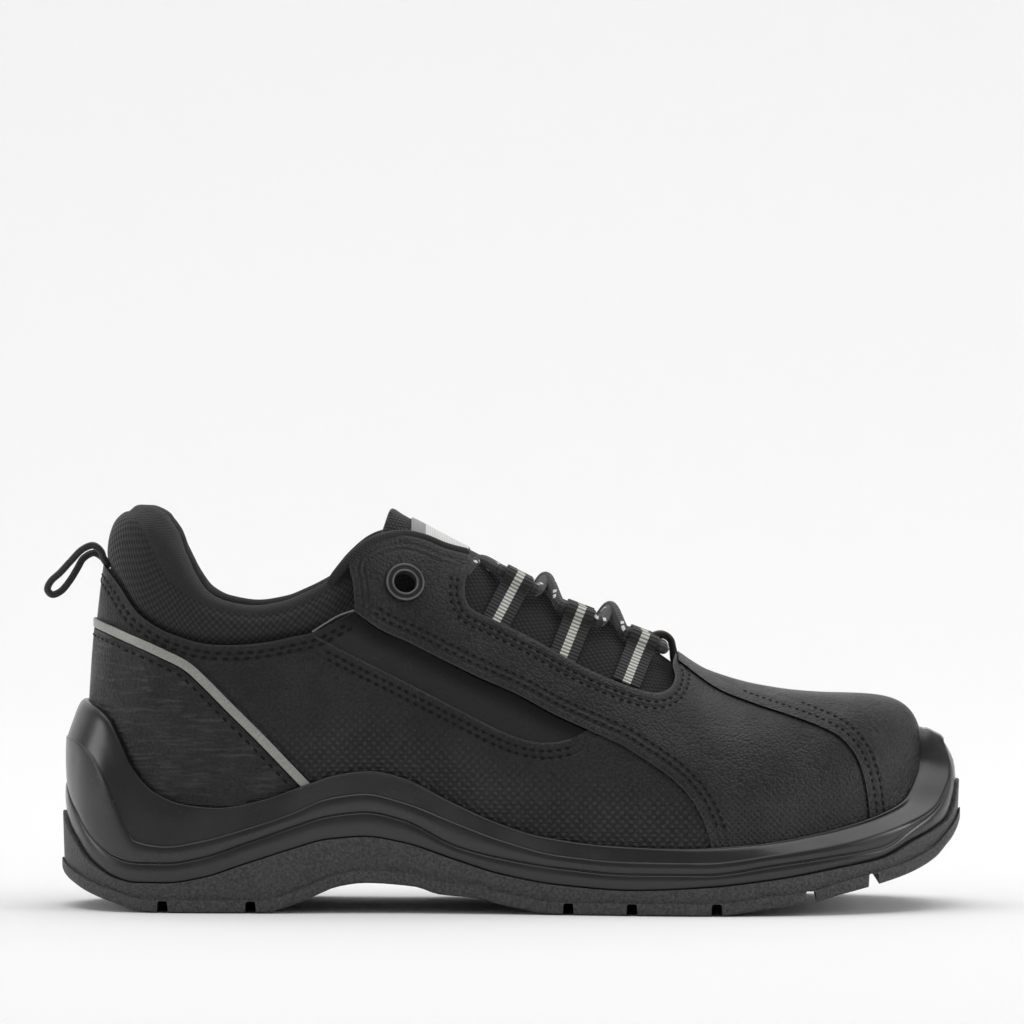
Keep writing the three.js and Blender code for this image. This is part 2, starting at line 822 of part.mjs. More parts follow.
// Collar: a padded ring inside the leather, rolled over at the top
function makeCollar() {
  const top = line(collarSections, 'top');
  const padding = line(collarSections, 'padding');
  const lean = line(collarSections, 'lean');
  const bulge = line(collarSections, 'bulge');
  const edge = sidePoints(openingEdge);
  const edgeUp = (x) => {
    const next = Math.max(edge.findIndex((point) => point.x > x), 0);
    if (x <= edge[0].x) return edge[0].y;
    if (x >= edge[edge.length - 1].x) return edge[edge.length - 1].y;
    const [a, b] = [edge[next - 1], edge[next]];
    return a.y + ((b.y - a.y) * (x - a.x)) / (b.x - a.x);
  };
  const tucked = -wall - gap - 0.1;
  const profile = (at, side) => {
    const high = collarLow * top(at);
    const seen = lastAtHeight(at, side, edgeUp(lastAtHeight(at, side, collarLow, 0).x), 0);
    const low = edgeUp(seen.x);
    const thick = padding(at);
    const out = bulge(at);
    const tip = -lean(at);
    return [
      [low - 14, tucked - 1.5],
      [low - 10, tucked],
      [low + 1.8, tucked],
      [low + 3.2, out - 0.4],
      [(low + high) / 2, out],
      [high - 5, out + tip * 0.35],
      [high - 1.6, tip + out - thick * 0.1],
      [high, tip - thick * 0.4],
      [high - 1.6, tip - thick * 0.8],
      [high - 6, tip - thick],
      [(low + high) / 2 - 4, -thick],
      [low - 8, tucked - thick * 0.45],
    ];
  };
  const collarEnd = collarSections[collarSections.length - 1].at;
  const inCollar = places.filter((at) => at <= collarEnd - 0.02).concat([collarEnd]);
  const stops = [
    ...inCollar.slice().reverse().map((at) => [at, -1]),
    ...inCollar.slice(1).map((at) => [at, 1]),
  ];
  const section = (at, side) => profile(at, side).map(([z, out]) => lastAtHeight(at, side, z, out));
  const sections = stops.map(([at, side]) => section(at, side));
  const flat = profile(collarEnd, -1).map(([z, out]) => v2(out, z));
  return solid(sweep(sections, flat));
}
piece('collar', geometry(makeCollar()), colours.textile, 0.9);

// Rolled binding on the top edge of each eyestay
function tube(points, diameter, sides, perSpan) {
  const route = new THREE.CatmullRomCurve3(points, false, 'centripetal');
  const section = new THREE.Shape();
  section.absarc(0, 0, diameter / 2, 0, 2 * Math.PI, false);
  return new THREE.ExtrudeGeometry(section, {
    steps: perSpan * (points.length - 1),
    curveSegments: sides / 2,
    bevelEnabled: false,
    extrudePath: route,
  });
}

[['lateral', -1], ['medial', 1]].forEach(([name, side]) => {
  const rise = bindingDiameter / 2 + gap + 0.1;
  const edge = sidePoints(eyestayEdge).slice(1);
  const points = edge.map((point, i) => {
    const along = edge[Math.min(i + 1, edge.length - 1)].clone().sub(edge[Math.max(i - 1, 0)]).normalize();
    return lastSeen(point.x - along.y * rise, point.y + along.x * rise, side, 0);
  });
  piece(`eyestay_binding_${name}`, tube(points, bindingDiameter, 8, 2), colours.textile, 0.9);
});

// Webbing loops: a strap tucked under the eyestay edge, with an eye for the lace
const tongueOut = -wall - gap - webbingThickness - gap;
const eyeRadius = laceDiameter / 2 + gap + 0.15;

const throatStep = v2(4, -1.9); // half the webbing's width along the throat, seen from the side

function loopFrame(row, side) {
  const place = v2(soleLength * row.at, instepHeight * row.up);
  const eyePlace = v2(soleLength * row.eyeAt, instepHeight * row.eyeUp);
  const foot = lastSeen(place.x, place.y, side, -wall - 2 * gap - webbingThickness / 2);
  const { here: eye, normal } = skinFrame(eyePlace.x, eyePlace.y, side, tongueOut);
  eye.addScaledVector(normal, eyeRadius + webbingThickness + gap);
  const up = eye.clone().sub(foot);
  const length = up.length();
  up.normalize();
  const ahead = lastSeen(place.x + throatStep.x, place.y + throatStep.y, side, tongueOut);
  const along = ahead.sub(lastSeen(place.x - throatStep.x, place.y - throatStep.y, side, tongueOut));
  along.addScaledVector(up, -along.dot(up)).normalize().multiplyScalar(side);
  const outward = new THREE.Vector3().crossVectors(along, up);
  return { foot, eye, up, outward, along, length };
}

// A strap that ends in a ring, in the plane across the lace, or the bed that it presses into the tongue
function loopStrap(frame, bed = 0) {
  const round = eyeRadius + webbingThickness + bed;
  const half = webbingThickness / 2 + bed;
  const meet = Math.asin(half / round);
  const shape = new THREE.Shape();
  shape.moveTo(-webbingTuck - bed, -half);
  shape.lineTo(frame.length - round * Math.cos(meet), -half);
  shape.absarc(frame.length, 0, round, Math.PI + meet, 3 * Math.PI - meet, false);
  shape.lineTo(-webbingTuck - bed, half);
  if (bed === 0) {
    const hole = new THREE.Path();
    hole.absarc(frame.length, 0, eyeRadius, 0, 2 * Math.PI, true);
    shape.holes.push(hole);
  }
  const width = webbingWidth + 2 * bed;
  const strap = new THREE.ExtrudeGeometry(shape, { depth: width, curveSegments: 8, bevelEnabled: false });
  strap.translate(0, 0, -width / 2);
  strap.applyMatrix4(new THREE.Matrix4().makeBasis(frame.up, frame.outward, frame.along));
  return strap.translate(frame.foot.x, frame.foot.y, frame.foot.z);
}

const loopFrames = {};
[['lateral', -1], ['medial', 1]].forEach(([name, side]) => {
  loopFrames[name] = loops.map((row, i) => {
    const frame = loopFrame(row, side);
    piece(`lace_loop_${name}_${i + 1}`, loopStrap(frame), colours.webbing, 0.8);
    return frame;
  });
});

// Lace: from the keeper through the loops, crossing twice over the tongue, ends tucked under the eyestays
function ridgePoint(x, out) {
  return lastSeen(x, far, -1, out);
}

function laceRoute(side, lift) {
  const near = side < 0 ? loopFrames.lateral : loopFrames.medial;
  const away = side < 0 ? loopFrames.medial : loopFrames.lateral;
  const forward = (frame) => frame.along.clone().multiplyScalar(Math.sign(frame.along.x));
  const through = (frame) => [2, 0.3, -0.3, -2].map((past) => {
    const reachOut = Math.sign(past) * (webbingWidth / 2) + past;
    return frame.eye.clone().addScaledVector(forward(frame), reachOut);
  });
  const crossing = (x, rise) => {
    const point = ridgePoint(x, tongueOut);
    point.z += laceDiameter / 2 + rise;
    return point;
  };
  const start = ridgePoint(soleLength * 0.668, 0);
  start.z = instepHeight * 0.6415;
  const under = -wall - gap - 0.2 - laceDiameter / 2;
  const tuck = lastSeen(soleLength * 0.466, instepHeight * 0.858, side, under + 0.6);
  const end = lastSeen(soleLength * 0.446, instepHeight * 0.862, side, under - 0.3);
  return [
    start,
    ...through(near[2]),
    crossing(soleLength * 0.611, 1.2 + lift),
    ...through(away[1]),
    crossing(soleLength * 0.539, 1.2 - lift),
    ...through(near[0]),
    tuck,
    end,
  ];
}

const laceRuns = [laceRoute(-1, 0.6), laceRoute(1, -0.6)];
const laceTube = (diameter) => laceRuns
  .map((points) => solid(tube(points, diameter, 8, 2)))
  .reduce((joined, run) => joined.add(run));
piece('lace', geometry(laceTube(laceDiameter)), colours.lace, 0.8);

// Tongue: padded, under the eyestays and the loops, free at its top end
function makeTongue() {
  const underThroat = sidePoints(throatEdge).slice(3, 10);
  const low = underThroat.map((point) => v2(point.x - tongueTuck / 2, point.y - tongueTuck));
  const outlineSeen = [
    ...sidePoints(tongueEdge),
    ...low,
    ...sidePoints(tongueToe),
    v2(soleLength * tongueToe[1].at, far),
    v2(soleLength * tongueEdge[0].at, far),
  ];
  const padded = lastSolid(tongueOut).subtract(lastSolid(tongueOut - tonguePadding));
  const straps = Object.values(loopFrames).flat().map((frame) => solid(loopStrap(frame, gap)));
  const beds = straps.reduce((joined, strap) => joined.add(strap), laceTube(laceDiameter + 2 * gap));
  return padded.intersect(prism(outlineSeen)).subtract(beds);
}
piece('tongue', geometry(makeTongue()), colours.textile, 0.9);

// Label on the tongue, left blank
function makeLabel() {
  const shown = prism([
    v2(soleLength * 0.397, far),
    v2(soleLength * 0.385, instepHeight * 0.93),
    v2(soleLength * 0.445, instepHeight * 0.85),
    v2(soleLength * 0.456, far),
  ]);
  return lastSolid(tongueOut + gap + labelThickness).subtract(lastSolid(tongueOut + gap)).intersect(shown);
}
piece('tongue_label', geometry(makeLabel()), colours.label, 0.8);

// Keeper: a small leather strap from the vamp over the lace at the bottom of the throat
function makeKeeper() {
  const held = laceRuns[0][0];
  const around = laceDiameter / 2 + gap;
  const heelEnd = ridgePoint(held.x - around - 1.5, tongueOut);
  const vampEnd = ridgePoint(held.x + keeperHold, 3 * layer + gap);
  const low = [
    v2(heelEnd.x - 1, heelEnd.z + gap + 0.6),
    v2(held.x - around - 0.4, held.z),
    v2(held.x - around * 0.72, held.z + around * 0.75),
    v2(held.x, held.z + around + 0.1),
    v2(held.x + around * 0.8, held.z + around * 0.72),
    v2(vampEnd.x - 2.6, vampEnd.z + gap + 1.6),
    v2(vampEnd.x + 1.5, vampEnd.z + gap + 0.2),
  ];
  const high = low.map((point, i) => {
    const before = low[Math.max(i - 1, 0)];
    const after = low[Math.min(i + 1, low.length - 1)];
    const along = after.clone().sub(before).normalize();
    return v2(point.x - along.y * keeperThickness, point.y + along.x * keeperThickness);
  });
  const strap = new THREE.ExtrudeGeometry(new THREE.Shape([...low, ...high.reverse()]), {
    depth: keeperWidth,
    bevelEnabled: false,
  });
  strap.rotateX(Math.PI / 2);
  strap.translate(0, keeperWidth / 2 + held.y, 0);
  return solid(strap);
}
piece('lace_keeper', geometry(makeKeeper()), colours.keeper, 0.7);

// Pull loop at the heel: one cord out and back, its route chosen by hand
const loopRoute = [
  [14.3, -1.3, 116.4],
  [13.1, -1.3, 119.4],
  [10.6, -1.3, 121.2],
  [7, -1.3, 119.9],
  [3, -1.1, 115.9],
  [-0.6, -0.7, 112],
  [-3.9, -0.2, 108.9],
  [-4.9, 0, 106.3],
  [-3.4, 0.2, 104.6],
  [-0.6, 0.7, 105.6],
  [2.4, 1.1, 109],
  [5, 1.3, 113.2],
  [7.2, 1.3, 116.8],
  [10.8, 1.3, 118.6],
  [14.3, 1.3, 116.4],
];
const loopPoints = loopRoute.map(([x, y, z]) => new THREE.Vector3(x, y, z));
piece('pull_loop', tube(loopPoints, loopCordDiameter, 8, 2), colours.lace, 0.8);

// The part's origin: the middle of the shoe's box on the floor, without the pull loop
const box = new THREE.Box3();
const shoe = group.children.filter((mesh) => mesh.name !== 'pull_loop');
shoe.forEach((mesh) => box.expandByObject(mesh, true));
group.position.set(-(box.min.x + box.max.x) / 2, -(box.min.y + box.max.y) / 2, -box.min.z);

export default group;
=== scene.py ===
import math
from functools import partial
import bpy
import bmesh
import numpy as np
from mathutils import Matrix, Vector


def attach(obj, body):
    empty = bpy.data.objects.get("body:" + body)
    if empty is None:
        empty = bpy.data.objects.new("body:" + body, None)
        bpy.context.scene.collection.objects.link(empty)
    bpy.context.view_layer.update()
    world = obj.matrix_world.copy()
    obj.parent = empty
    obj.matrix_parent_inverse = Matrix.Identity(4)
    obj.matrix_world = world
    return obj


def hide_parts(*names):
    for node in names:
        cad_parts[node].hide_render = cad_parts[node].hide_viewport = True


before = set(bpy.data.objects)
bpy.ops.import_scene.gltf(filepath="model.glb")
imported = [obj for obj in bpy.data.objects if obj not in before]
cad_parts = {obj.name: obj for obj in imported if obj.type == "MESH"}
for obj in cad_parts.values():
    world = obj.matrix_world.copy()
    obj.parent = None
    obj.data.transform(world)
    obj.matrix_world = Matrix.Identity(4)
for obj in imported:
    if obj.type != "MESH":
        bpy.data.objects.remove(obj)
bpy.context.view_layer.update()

# Work shoe for the right foot. Lengths are in millimetres on the shoe, X from heel to toe, Y to the inner
# side, Z up; place() turns them into metres in the part's frame.
HEEL_TO_ORIGIN = np.array([-151.4, 1.3156, 0.0])
SIDES = {"lateral": -1, "medial": 1}

SOLE_LENGTH = 302.8
SOLE_BALL, SOLE_HEEL = 109.0, 82.0
HEEL_WRAP = 69.6
ARCH_HEIGHT = 10.1
OUTSOLE_THICKNESS = 6.0
TREAD_STEP = 4.2
RIM_WIDTH = 2.6
BED_CLEARANCE = 0.15
MIDSOLE_INSET = 1.5
LUG_DEPTH, CHANNEL_WIDTH, CHANNEL_DRAFT = 4.0, 5.0, 0.9
HEEL_SETBACK, TOE_SETBACK = 9.6, 14.1
LAST_LENGTH = SOLE_LENGTH - HEEL_SETBACK - TOE_SETBACK
LAST_BALL, LAST_HEEL = 95.5, 71.0
INSTEP_HEIGHT, SEAT_HEIGHT = 136.0, 29.0
WALL, LAYER, GAP = 1.4, 0.7, 0.3
COLLAR_LOW = 0.75 * INSTEP_HEIGHT
TONGUE_PADDING = 6.5
WEBBING_WIDTH, WEBBING_THICKNESS = 9.5, 0.8
LACE_DIAMETER = 4.0
EYELET_FLANGE, EYELET_HOLE, EYELET_WALL = 6.5, 3.8, 0.6
STRIP_WIDTH = 3.0
BINDING_DIAMETER = 3.2
KEEPER_WIDTH, KEEPER_THICKNESS, KEEPER_WAIST, KEEPER_BEND = 9.0, 1.0, 2.2, 0.15
PULL_CORD_DIAMETER = 2.4
RAW_EDGE_DIAMETER = 0.55
TONGUE_OUT = -WALL - GAP - WEBBING_THICKNESS - GAP

# Outline from above: place along, half widths outside and inside, and the sole's inner half width
PLAN = np.array([
    [0, 0, 0, 0], [0.013, 0.207, 0.207, 0.207], [0.03, 0.31, 0.31, 0.31], [0.06, 0.41, 0.41, 0.41],
    [0.1, 0.47, 0.468, 0.468], [0.16, 0.503, 0.495, 0.497], [0.24, 0.51, 0.487, 0.492],
    [0.32, 0.465, 0.42, 0.43], [0.4, 0.432, 0.36, 0.374], [0.48, 0.426, 0.342, 0.36],
    [0.56, 0.455, 0.372, 0.392], [0.64, 0.495, 0.428, 0.446], [0.72, 0.515, 0.477, 0.484],
    [0.79, 0.5, 0.49, 0.49], [0.86, 0.447, 0.465, 0.465], [0.91, 0.377, 0.41, 0.41],
    [0.95, 0.288, 0.33, 0.33], [0.98, 0.188, 0.222, 0.222], [0.995, 0.095, 0.112, 0.112], [1, 0, 0, 0],
])

# Sections of the last: place along, then the ridge's place, height and shift in, the seat and the fullness
LAST_SECTIONS = np.array([
    [0, 0.127, 1.324, 0, 1, 2.2], [0.12, 0.163, 1.324, 0, 0.99, 2.2],
    [0.25, 0.252, 1.294, 0.005, 0.94, 2.3], [0.33, 0.317, 1.165, 0.01, 0.89, 2.45],
    [0.38, 0.36, 1.015, 0.015, 0.84, 2.45], [0.43, 0.41, 0.955, 0.02, 0.76, 2.3],
    [0.5, 0.489, 0.871, 0.025, 0.66, 2], [0.57, 0.568, 0.785, 0.03, 0.58, 1.85],
    [0.64, 0.639, 0.719, 0.03, 0.53, 1.78], [0.7, 0.697, 0.632, 0.03, 0.5, 1.8],
    [0.75, 0.747, 0.566, 0.03, 0.5, 1.95], [0.82, 0.804, 0.531, 0.025, 0.55, 2.25],
    [0.9, 0.847, 0.515, 0.02, 0.68, 2.7], [0.96, 0.869, 0.51, 0.01, 0.83, 3.5],
    [1, 0.876, 0.5096, 0, 0.93, 5],
])

# Lines along the sole's side, as shares of the heel wrap: rim, groove, crease and wavy top
SIDE_LINES = np.array([
    [0, 0.46, 0.6, 0.82, 1], [0.013, 0.345, 0.477, 0.805, 0.973], [0.03, 0.249, 0.365, 0.754, 0.924],
    [0.045, 0.2, 0.305, 0.661, 0.819], [0.06, 0.165, 0.263, 0.524, 0.69],
    [0.085, 0.141, 0.237, 0.341, 0.576], [0.12, 0.141, 0.236, 0.319, 0.517],
    [0.16, 0.167, 0.264, 0.346, 0.503], [0.21, 0.237, 0.336, 0.407, 0.539],
    [0.26, 0.307, 0.412, 0.48, 0.608], [0.3, 0.353, 0.464, 0.55, 0.662],
    [0.34, 0.365, 0.483, 0.572, 0.68], [0.38, 0.338, 0.447, 0.533, 0.647],
    [0.44, 0.253, 0.322, 0.431, 0.53], [0.49, 0.187, 0.266, 0.351, 0.441],
    [0.55, 0.142, 0.224, 0.286, 0.369], [0.63, 0.119, 0.197, 0.257, 0.33],
    [0.71, 0.134, 0.197, 0.254, 0.319], [0.79, 0.172, 0.241, 0.293, 0.336],
    [0.86, 0.223, 0.282, 0.338, 0.378], [0.91, 0.264, 0.316, 0.388, 0.425],
    [0.945, 0.338, 0.405, 0.438, 0.471], [0.971, 0.391, 0.475, 0.5, 0.525],
    [0.986, 0.435, 0.56, 0.59, 0.62], [0.9937, 0.503, 0.66, 0.685, 0.705],
    [0.9965, 0.57, 0.74, 0.77, 0.8], [0.9988, 0.61, 0.787, 0.822, 0.858], [1, 0.613, 0.79, 0.826, 0.862],
])

# Underside of the outsole, as shares of the arch height
TREAD = np.array([
    [0, 1.19], [0.013, 0.89], [0.03, 0.63], [0.06, 0.32], [0.105, 0], [0.225, 0], [0.26, 0.27],
    [0.285, 0.58], [0.31, 0.88], [0.34, 1], [0.395, 0.88], [0.42, 0.64], [0.464, 0.51], [0.49, 0.3],
    [0.557, 0], [0.72, 0], [0.79, 0.26], [0.82, 0.34], [0.86, 0.66], [0.907, 1], [0.94, 1.3],
    [0.967, 1.7], [0.985, 2.2], [1, 2.87],
])
# Channels between the lugs: place along, and turn in plan in radians
LUG_GAPS = np.array([
    [0.117, 0.0], [0.214, 0.0], [0.569, -0.04], [0.639, -0.04], [0.73, -0.03], [0.831, -0.02],
    [0.898, 0.0],
])

# Edges seen from the side, as shares of the sole length and the instep height
SIDE_SHARE = np.array([SOLE_LENGTH, INSTEP_HEIGHT])
COLLAR_LINE = SIDE_SHARE * [
    [0.048, 0.842], [0.065, 0.8], [0.0875, 0.732], [0.113, 0.693], [0.138, 0.671], [0.163, 0.657],
    [0.196, 0.654], [0.234, 0.662], [0.259, 0.674], [0.282, 0.685], [0.306, 0.71], [0.3286, 0.7375],
]
EYESTAY_TOP = SIDE_SHARE * [
    [0.3265, 0.8], [0.323, 0.862], [0.347, 0.904], [0.38, 0.92], [0.403, 0.91], [0.427, 0.888],
    [0.453, 0.872],
]
THROAT = SIDE_SHARE * [
    [0.458, 0.858], [0.451, 0.82], [0.449, 0.78], [0.455, 0.744], [0.48, 0.715], [0.523, 0.668],
    [0.57, 0.609], [0.606, 0.572], [0.642, 0.543], [0.661, 0.535], [0.6755, 0.546], [0.6815, 0.572],
    [0.679, 0.6], [0.683, 0.625],
]
RECESS_TOP = SIDE_SHARE * [
    [0.3286, 0.735], [0.358, 0.69], [0.386, 0.662], [0.428, 0.615], [0.466, 0.574], [0.506, 0.535],
    [0.548, 0.485], [0.585, 0.448],
]
RECESS_BOTTOM = SIDE_SHARE * [
    [0.565, 0.426], [0.543, 0.417], [0.52, 0.421], [0.492, 0.442], [0.458, 0.479], [0.414, 0.53],
    [0.358, 0.593], [0.316, 0.64], [0.282, 0.68],
]
VAMP_SEAM = SIDE_SHARE * [
    [0.62, 0.414], [0.641, 0.385], [0.673, 0.337], [0.6945, 0.29], [0.708, 0.242], [0.719, 0.17],
    [0.724, 0.05],
]
TOE_SEAM = SIDE_SHARE * [
    [0.686, 0.61], [0.727, 0.545], [0.7665, 0.51], [0.806, 0.482], [0.8385, 0.456], [0.86, 0.432],
    [0.876, 0.396], [0.886, 0.349], [0.892, 0.29], [0.895, 0.224], [0.896, 0.05],
]
STRIP_LINE = SIDE_SHARE * [
    [0.0, 0.714], [0.0357, 0.702], [0.082, 0.665], [0.118, 0.631], [0.143, 0.603], [0.163, 0.564],
    [0.1885, 0.507], [0.224, 0.429], [0.2595, 0.347], [0.29, 0.276],
]
EYESTAY_BACK = SIDE_SHARE * [0.31, 0.76]
TONGUE_EDGE = SIDE_SHARE * [[0.372, 1.03], [0.352, 0.895], [0.358, 0.845], [0.362, 0.79], [0.38, 0.745],
                            [0.41, 0.725], [0.44, 0.71]]
TONGUE_TOE = SIDE_SHARE * [[0.69, 0.5], [0.7, 0.56]]
EYELET_AT = SIDE_SHARE * [0.383, 0.806]
LACE_FRONT_AT = SIDE_SHARE * [0.668, 0.6415]
BINDING_REAR = SIDE_SHARE * [0.3, 0.8]
RAW_EDGE = SIDE_SHARE * [[0.2815, 0.687], [0.298, 0.7105], [0.3115, 0.7275], [0.3275, 0.7395]]
# Webbing loops: foot and eye of each
LOOPS = np.array([
    [0.4835, 0.71, 0.5025, 0.789], [0.558, 0.627, 0.5725, 0.705], [0.6285, 0.566, 0.6405, 0.64],
])

# Collar: top as a share of its lowest height, padding, how far the top leans in and the side stands out
COLLAR_SECTIONS = np.array([
    [0, 1.323, 13, 4, 0.2], [0.02, 1.32, 13, 4, 0.2], [0.05, 1.3, 12.5, 3.6, 0.3],
    [0.08, 1.25, 11.5, 3, 0.4], [0.1, 1.185, 11, 2.4, 0.5], [0.12, 1.105, 10.5, 1.8, 0.6],
    [0.14, 1.045, 10, 1.4, 0.6], [0.165, 1.014, 9.5, 1, 0.6], [0.2, 1, 9.5, 1, 0.6],
    [0.23, 1.012, 9.5, 1, 0.6], [0.26, 1.04, 9, 0.8, 0.4], [0.29, 1.08, 8.5, 0.4, -0.6],
    [0.312, 1.118, 8, 0, -1.75], [0.328, 1.145, 7.5, 0, -1.75],
])


def turn(at):
    return np.arccos(1 - 2 * np.clip(at, 0, 1)) / np.pi


def smooth_line(rows, column, steep=False):
    """A column of a table as a smooth line that never overshoots its rows."""
    u, v = turn(rows[:, 0]), rows[:, column]
    rise = np.diff(v) / np.diff(u)
    slope = np.zeros_like(v)
    if steep:
        slope[0], slope[-1] = rise[0], rise[-1]
    product = rise[:-1] * rise[1:]
    total = np.where(product > 0, rise[:-1] + rise[1:], 1)
    slope[1:-1] = np.where(product > 0, 2 * product / total, 0)

    def value(at):
        t = turn(at)
        i = np.clip(np.searchsorted(u, t, side="left") - 1, 0, len(u) - 2)
        step = u[i + 1] - u[i]
        s = np.clip((t - u[i]) / step, 0, 1)
        low = v[i] * (1 + 2 * s) * (1 - s) ** 2 + slope[i] * step * s * (1 - s) ** 2
        high = v[i + 1] * s * s * (3 - 2 * s) - slope[i + 1] * step * s * s * (1 - s)
        return low + high

    return value


outer_half, inner_half, sole_inner_half = (smooth_line(PLAN, c, True) for c in (1, 2, 3))
ridge_at, ridge_up, ridge_in, seat_up, fullness = (smooth_line(LAST_SECTIONS, c) for c in range(1, 6))
rim_share, groove_share, crease_share, wave_share = (smooth_line(SIDE_LINES, c) for c in range(1, 5))
tread_share = smooth_line(TREAD, 1)
collar_top, collar_padding, collar_lean, collar_bulge = (smooth_line(COLLAR_SECTIONS, c) for c in range(1, 5))

LAST = (HEEL_SETBACK, LAST_LENGTH, LAST_HEEL, LAST_BALL, inner_half)
SOLE = (0.0, SOLE_LENGTH, SOLE_HEEL, SOLE_BALL, sole_inner_half)


def edge_point(shape, at, side):
    start, length, heel, ball, inner = shape
    share = np.clip((at - 0.2) / 0.35, 0, 1)
    width = heel + (ball - heel) * share * share * (3 - 2 * share)
    half = np.where(side < 0, outer_half(at), inner(at))
    return start + length * at, side * width * half


def outline(shape, at, side, out):
    """An outline from above, moved outward by a distance."""
    at, side, out = np.broadcast_arrays(np.asarray(at, float), side, out)
    x, y = edge_point(shape, at, side)
    step = np.maximum(np.minimum(0.002, np.minimum(at / 2, (1 - at) / 2)), 1e-9)
    x1, y1 = edge_point(shape, np.clip(at + step, 0, 1), side)
    x0, y0 = edge_point(shape, np.clip(at - step, 0, 1), side)
    along = np.hypot(x1 - x0, y1 - y0)
    nx, ny = -side * (y1 - y0) / along, side * (x1 - x0) / along
    nx = np.where(at <= 0, -1, np.where(at >= 1, 1, nx))
    ny = np.where((at <= 0) | (at >= 1), 0, ny)
    return x + nx * out, y + ny * out


def last_point(at, side, up, out):
    """Point of the last: up is 0 at the feather edge and 1 on the ridge, out is the distance outside it."""
    at, side, up, out = np.broadcast_arrays(np.asarray(at, float), side, up, out)
    low_x, low_y = outline(LAST, at, side, out)
    seat = SEAT_HEIGHT * seat_up(at)
    top = INSTEP_HEIGHT * ridge_up(at) + out
    ridge_x = HEEL_SETBACK + LAST_LENGTH * ridge_at(at)
    ridge_y = LAST_BALL * ridge_in(at)
    full = fullness(at)
    spread = np.maximum(1 - np.clip(up, 0, 1) ** full, 0) ** (1 / full)
    x = ridge_x + (low_x - ridge_x) * spread
    y = ridge_y + (low_y - ridge_y) * spread
    return np.stack([x, y, seat + (top - seat) * up], -1)


def last_at_height(at, side, height, out):
    at, side, height, out = np.broadcast_arrays(np.asarray(at, float), side, height, out)
    seat = SEAT_HEIGHT * seat_up(at)
    top = INSTEP_HEIGHT * ridge_up(at) + out
    return last_point(at, side, np.clip((height - seat) / (top - seat), 0, 1), out)


def last_seen(x, z, side, out):
    """Point of the last that shows at x and z from the side."""
    x, z, side, out = np.broadcast_arrays(np.asarray(x, float), z, side, out)
    low, high = np.zeros_like(x), np.ones_like(x)
    for _ in range(40):
        mid = (low + high) / 2
        behind = last_at_height(mid, side, z, out)[..., 0] < x
        low, high = np.where(behind, mid, low), np.where(behind, high, mid)
    return last_at_height(low, side, z, out)


def skin_normal(x, z, side, out):
    """Outward direction of the last at a place seen from the side."""
    here = last_seen(x, z, side, out)
    higher = last_seen(x + 0.5, z + 1, side, out) - here
    forward = last_seen(x + 1, z - 0.5, side, out) - here
    normal = np.cross(forward, higher)
    normal /= np.linalg.norm(normal, axis=-1, keepdims=True)
    flip = np.where(normal[..., 1] * side < 0, -1, 1)
    return here, normal * flip[..., None]


def tread_up(x):
    return ARCH_HEIGHT * tread_share(x / SOLE_LENGTH)


# Mesh code

def place(points):
    """Points on the shoe, in metres in the part's frame."""
    return (np.asarray(points, float) + HEEL_TO_ORIGIN) / 1000


def unit(vectors):
    return vectors / np.maximum(np.linalg.norm(vectors, axis=-1, keepdims=True), 1e-12)


def smooth_path(points, spacing, closed=False):
    """A smooth curve through points, at an even spacing."""
    p = np.asarray(points, float)
    if closed:
        p = np.vstack([p[-1:], p, p[:2]])
    else:
        p = np.vstack([2 * p[0] - p[1], p, 2 * p[-1] - p[-2]])
    knots = np.concatenate([[0], np.cumsum(np.sqrt(np.linalg.norm(np.diff(p, axis=0), axis=1)))])
    fine = []
    for i in range(1, len(p) - 2):
        t0, t1, t2, t3 = knots[i - 1:i + 3]
        t = np.linspace(t1, t2, 24, endpoint=False)[:, None]
        a1 = (t1 - t) / (t1 - t0) * p[i - 1] + (t - t0) / (t1 - t0) * p[i]
        a2 = (t2 - t) / (t2 - t1) * p[i] + (t - t1) / (t2 - t1) * p[i + 1]
        a3 = (t3 - t) / (t3 - t2) * p[i + 1] + (t - t2) / (t3 - t2) * p[i + 2]
        b1 = (t2 - t) / (t2 - t0) * a1 + (t - t0) / (t2 - t0) * a2
        b2 = (t3 - t) / (t3 - t1) * a2 + (t - t1) / (t3 - t1) * a3
        fine.append((t2 - t) / (t2 - t1) * b1 + (t - t1) / (t2 - t1) * b2)
    fine.append(p[-2:-1])
    return evenly(np.vstack(fine), spacing)


def evenly(points, spacing):
    run = run_length(points)
    stops = np.linspace(0, run[-1], max(2, int(round(run[-1] / spacing)) + 1))
    return np.stack([np.interp(stops, run, points[:, k]) for k in range(points.shape[1])], -1)


def run_length(points):
    return np.concatenate([[0], np.cumsum(np.linalg.norm(np.diff(points, axis=0), axis=1))])


def add_object(name, verts, faces, uvs=None):
    """A mesh object from points on the shoe. uvs gives a pair of millimetres for each corner of each face."""
    mesh = bpy.data.meshes.new(name)
    mesh.from_pydata(place(verts).tolist(), [], faces)
    if uvs is not None:
        layer = mesh.uv_layers.new(name="cloth")
        layer.data.foreach_set("uv", np.asarray(uvs, np.float32).ravel())
    mesh.shade_smooth()
    obj = bpy.data.objects.new(name, mesh)
    bpy.context.scene.collection.objects.link(obj)
    return obj


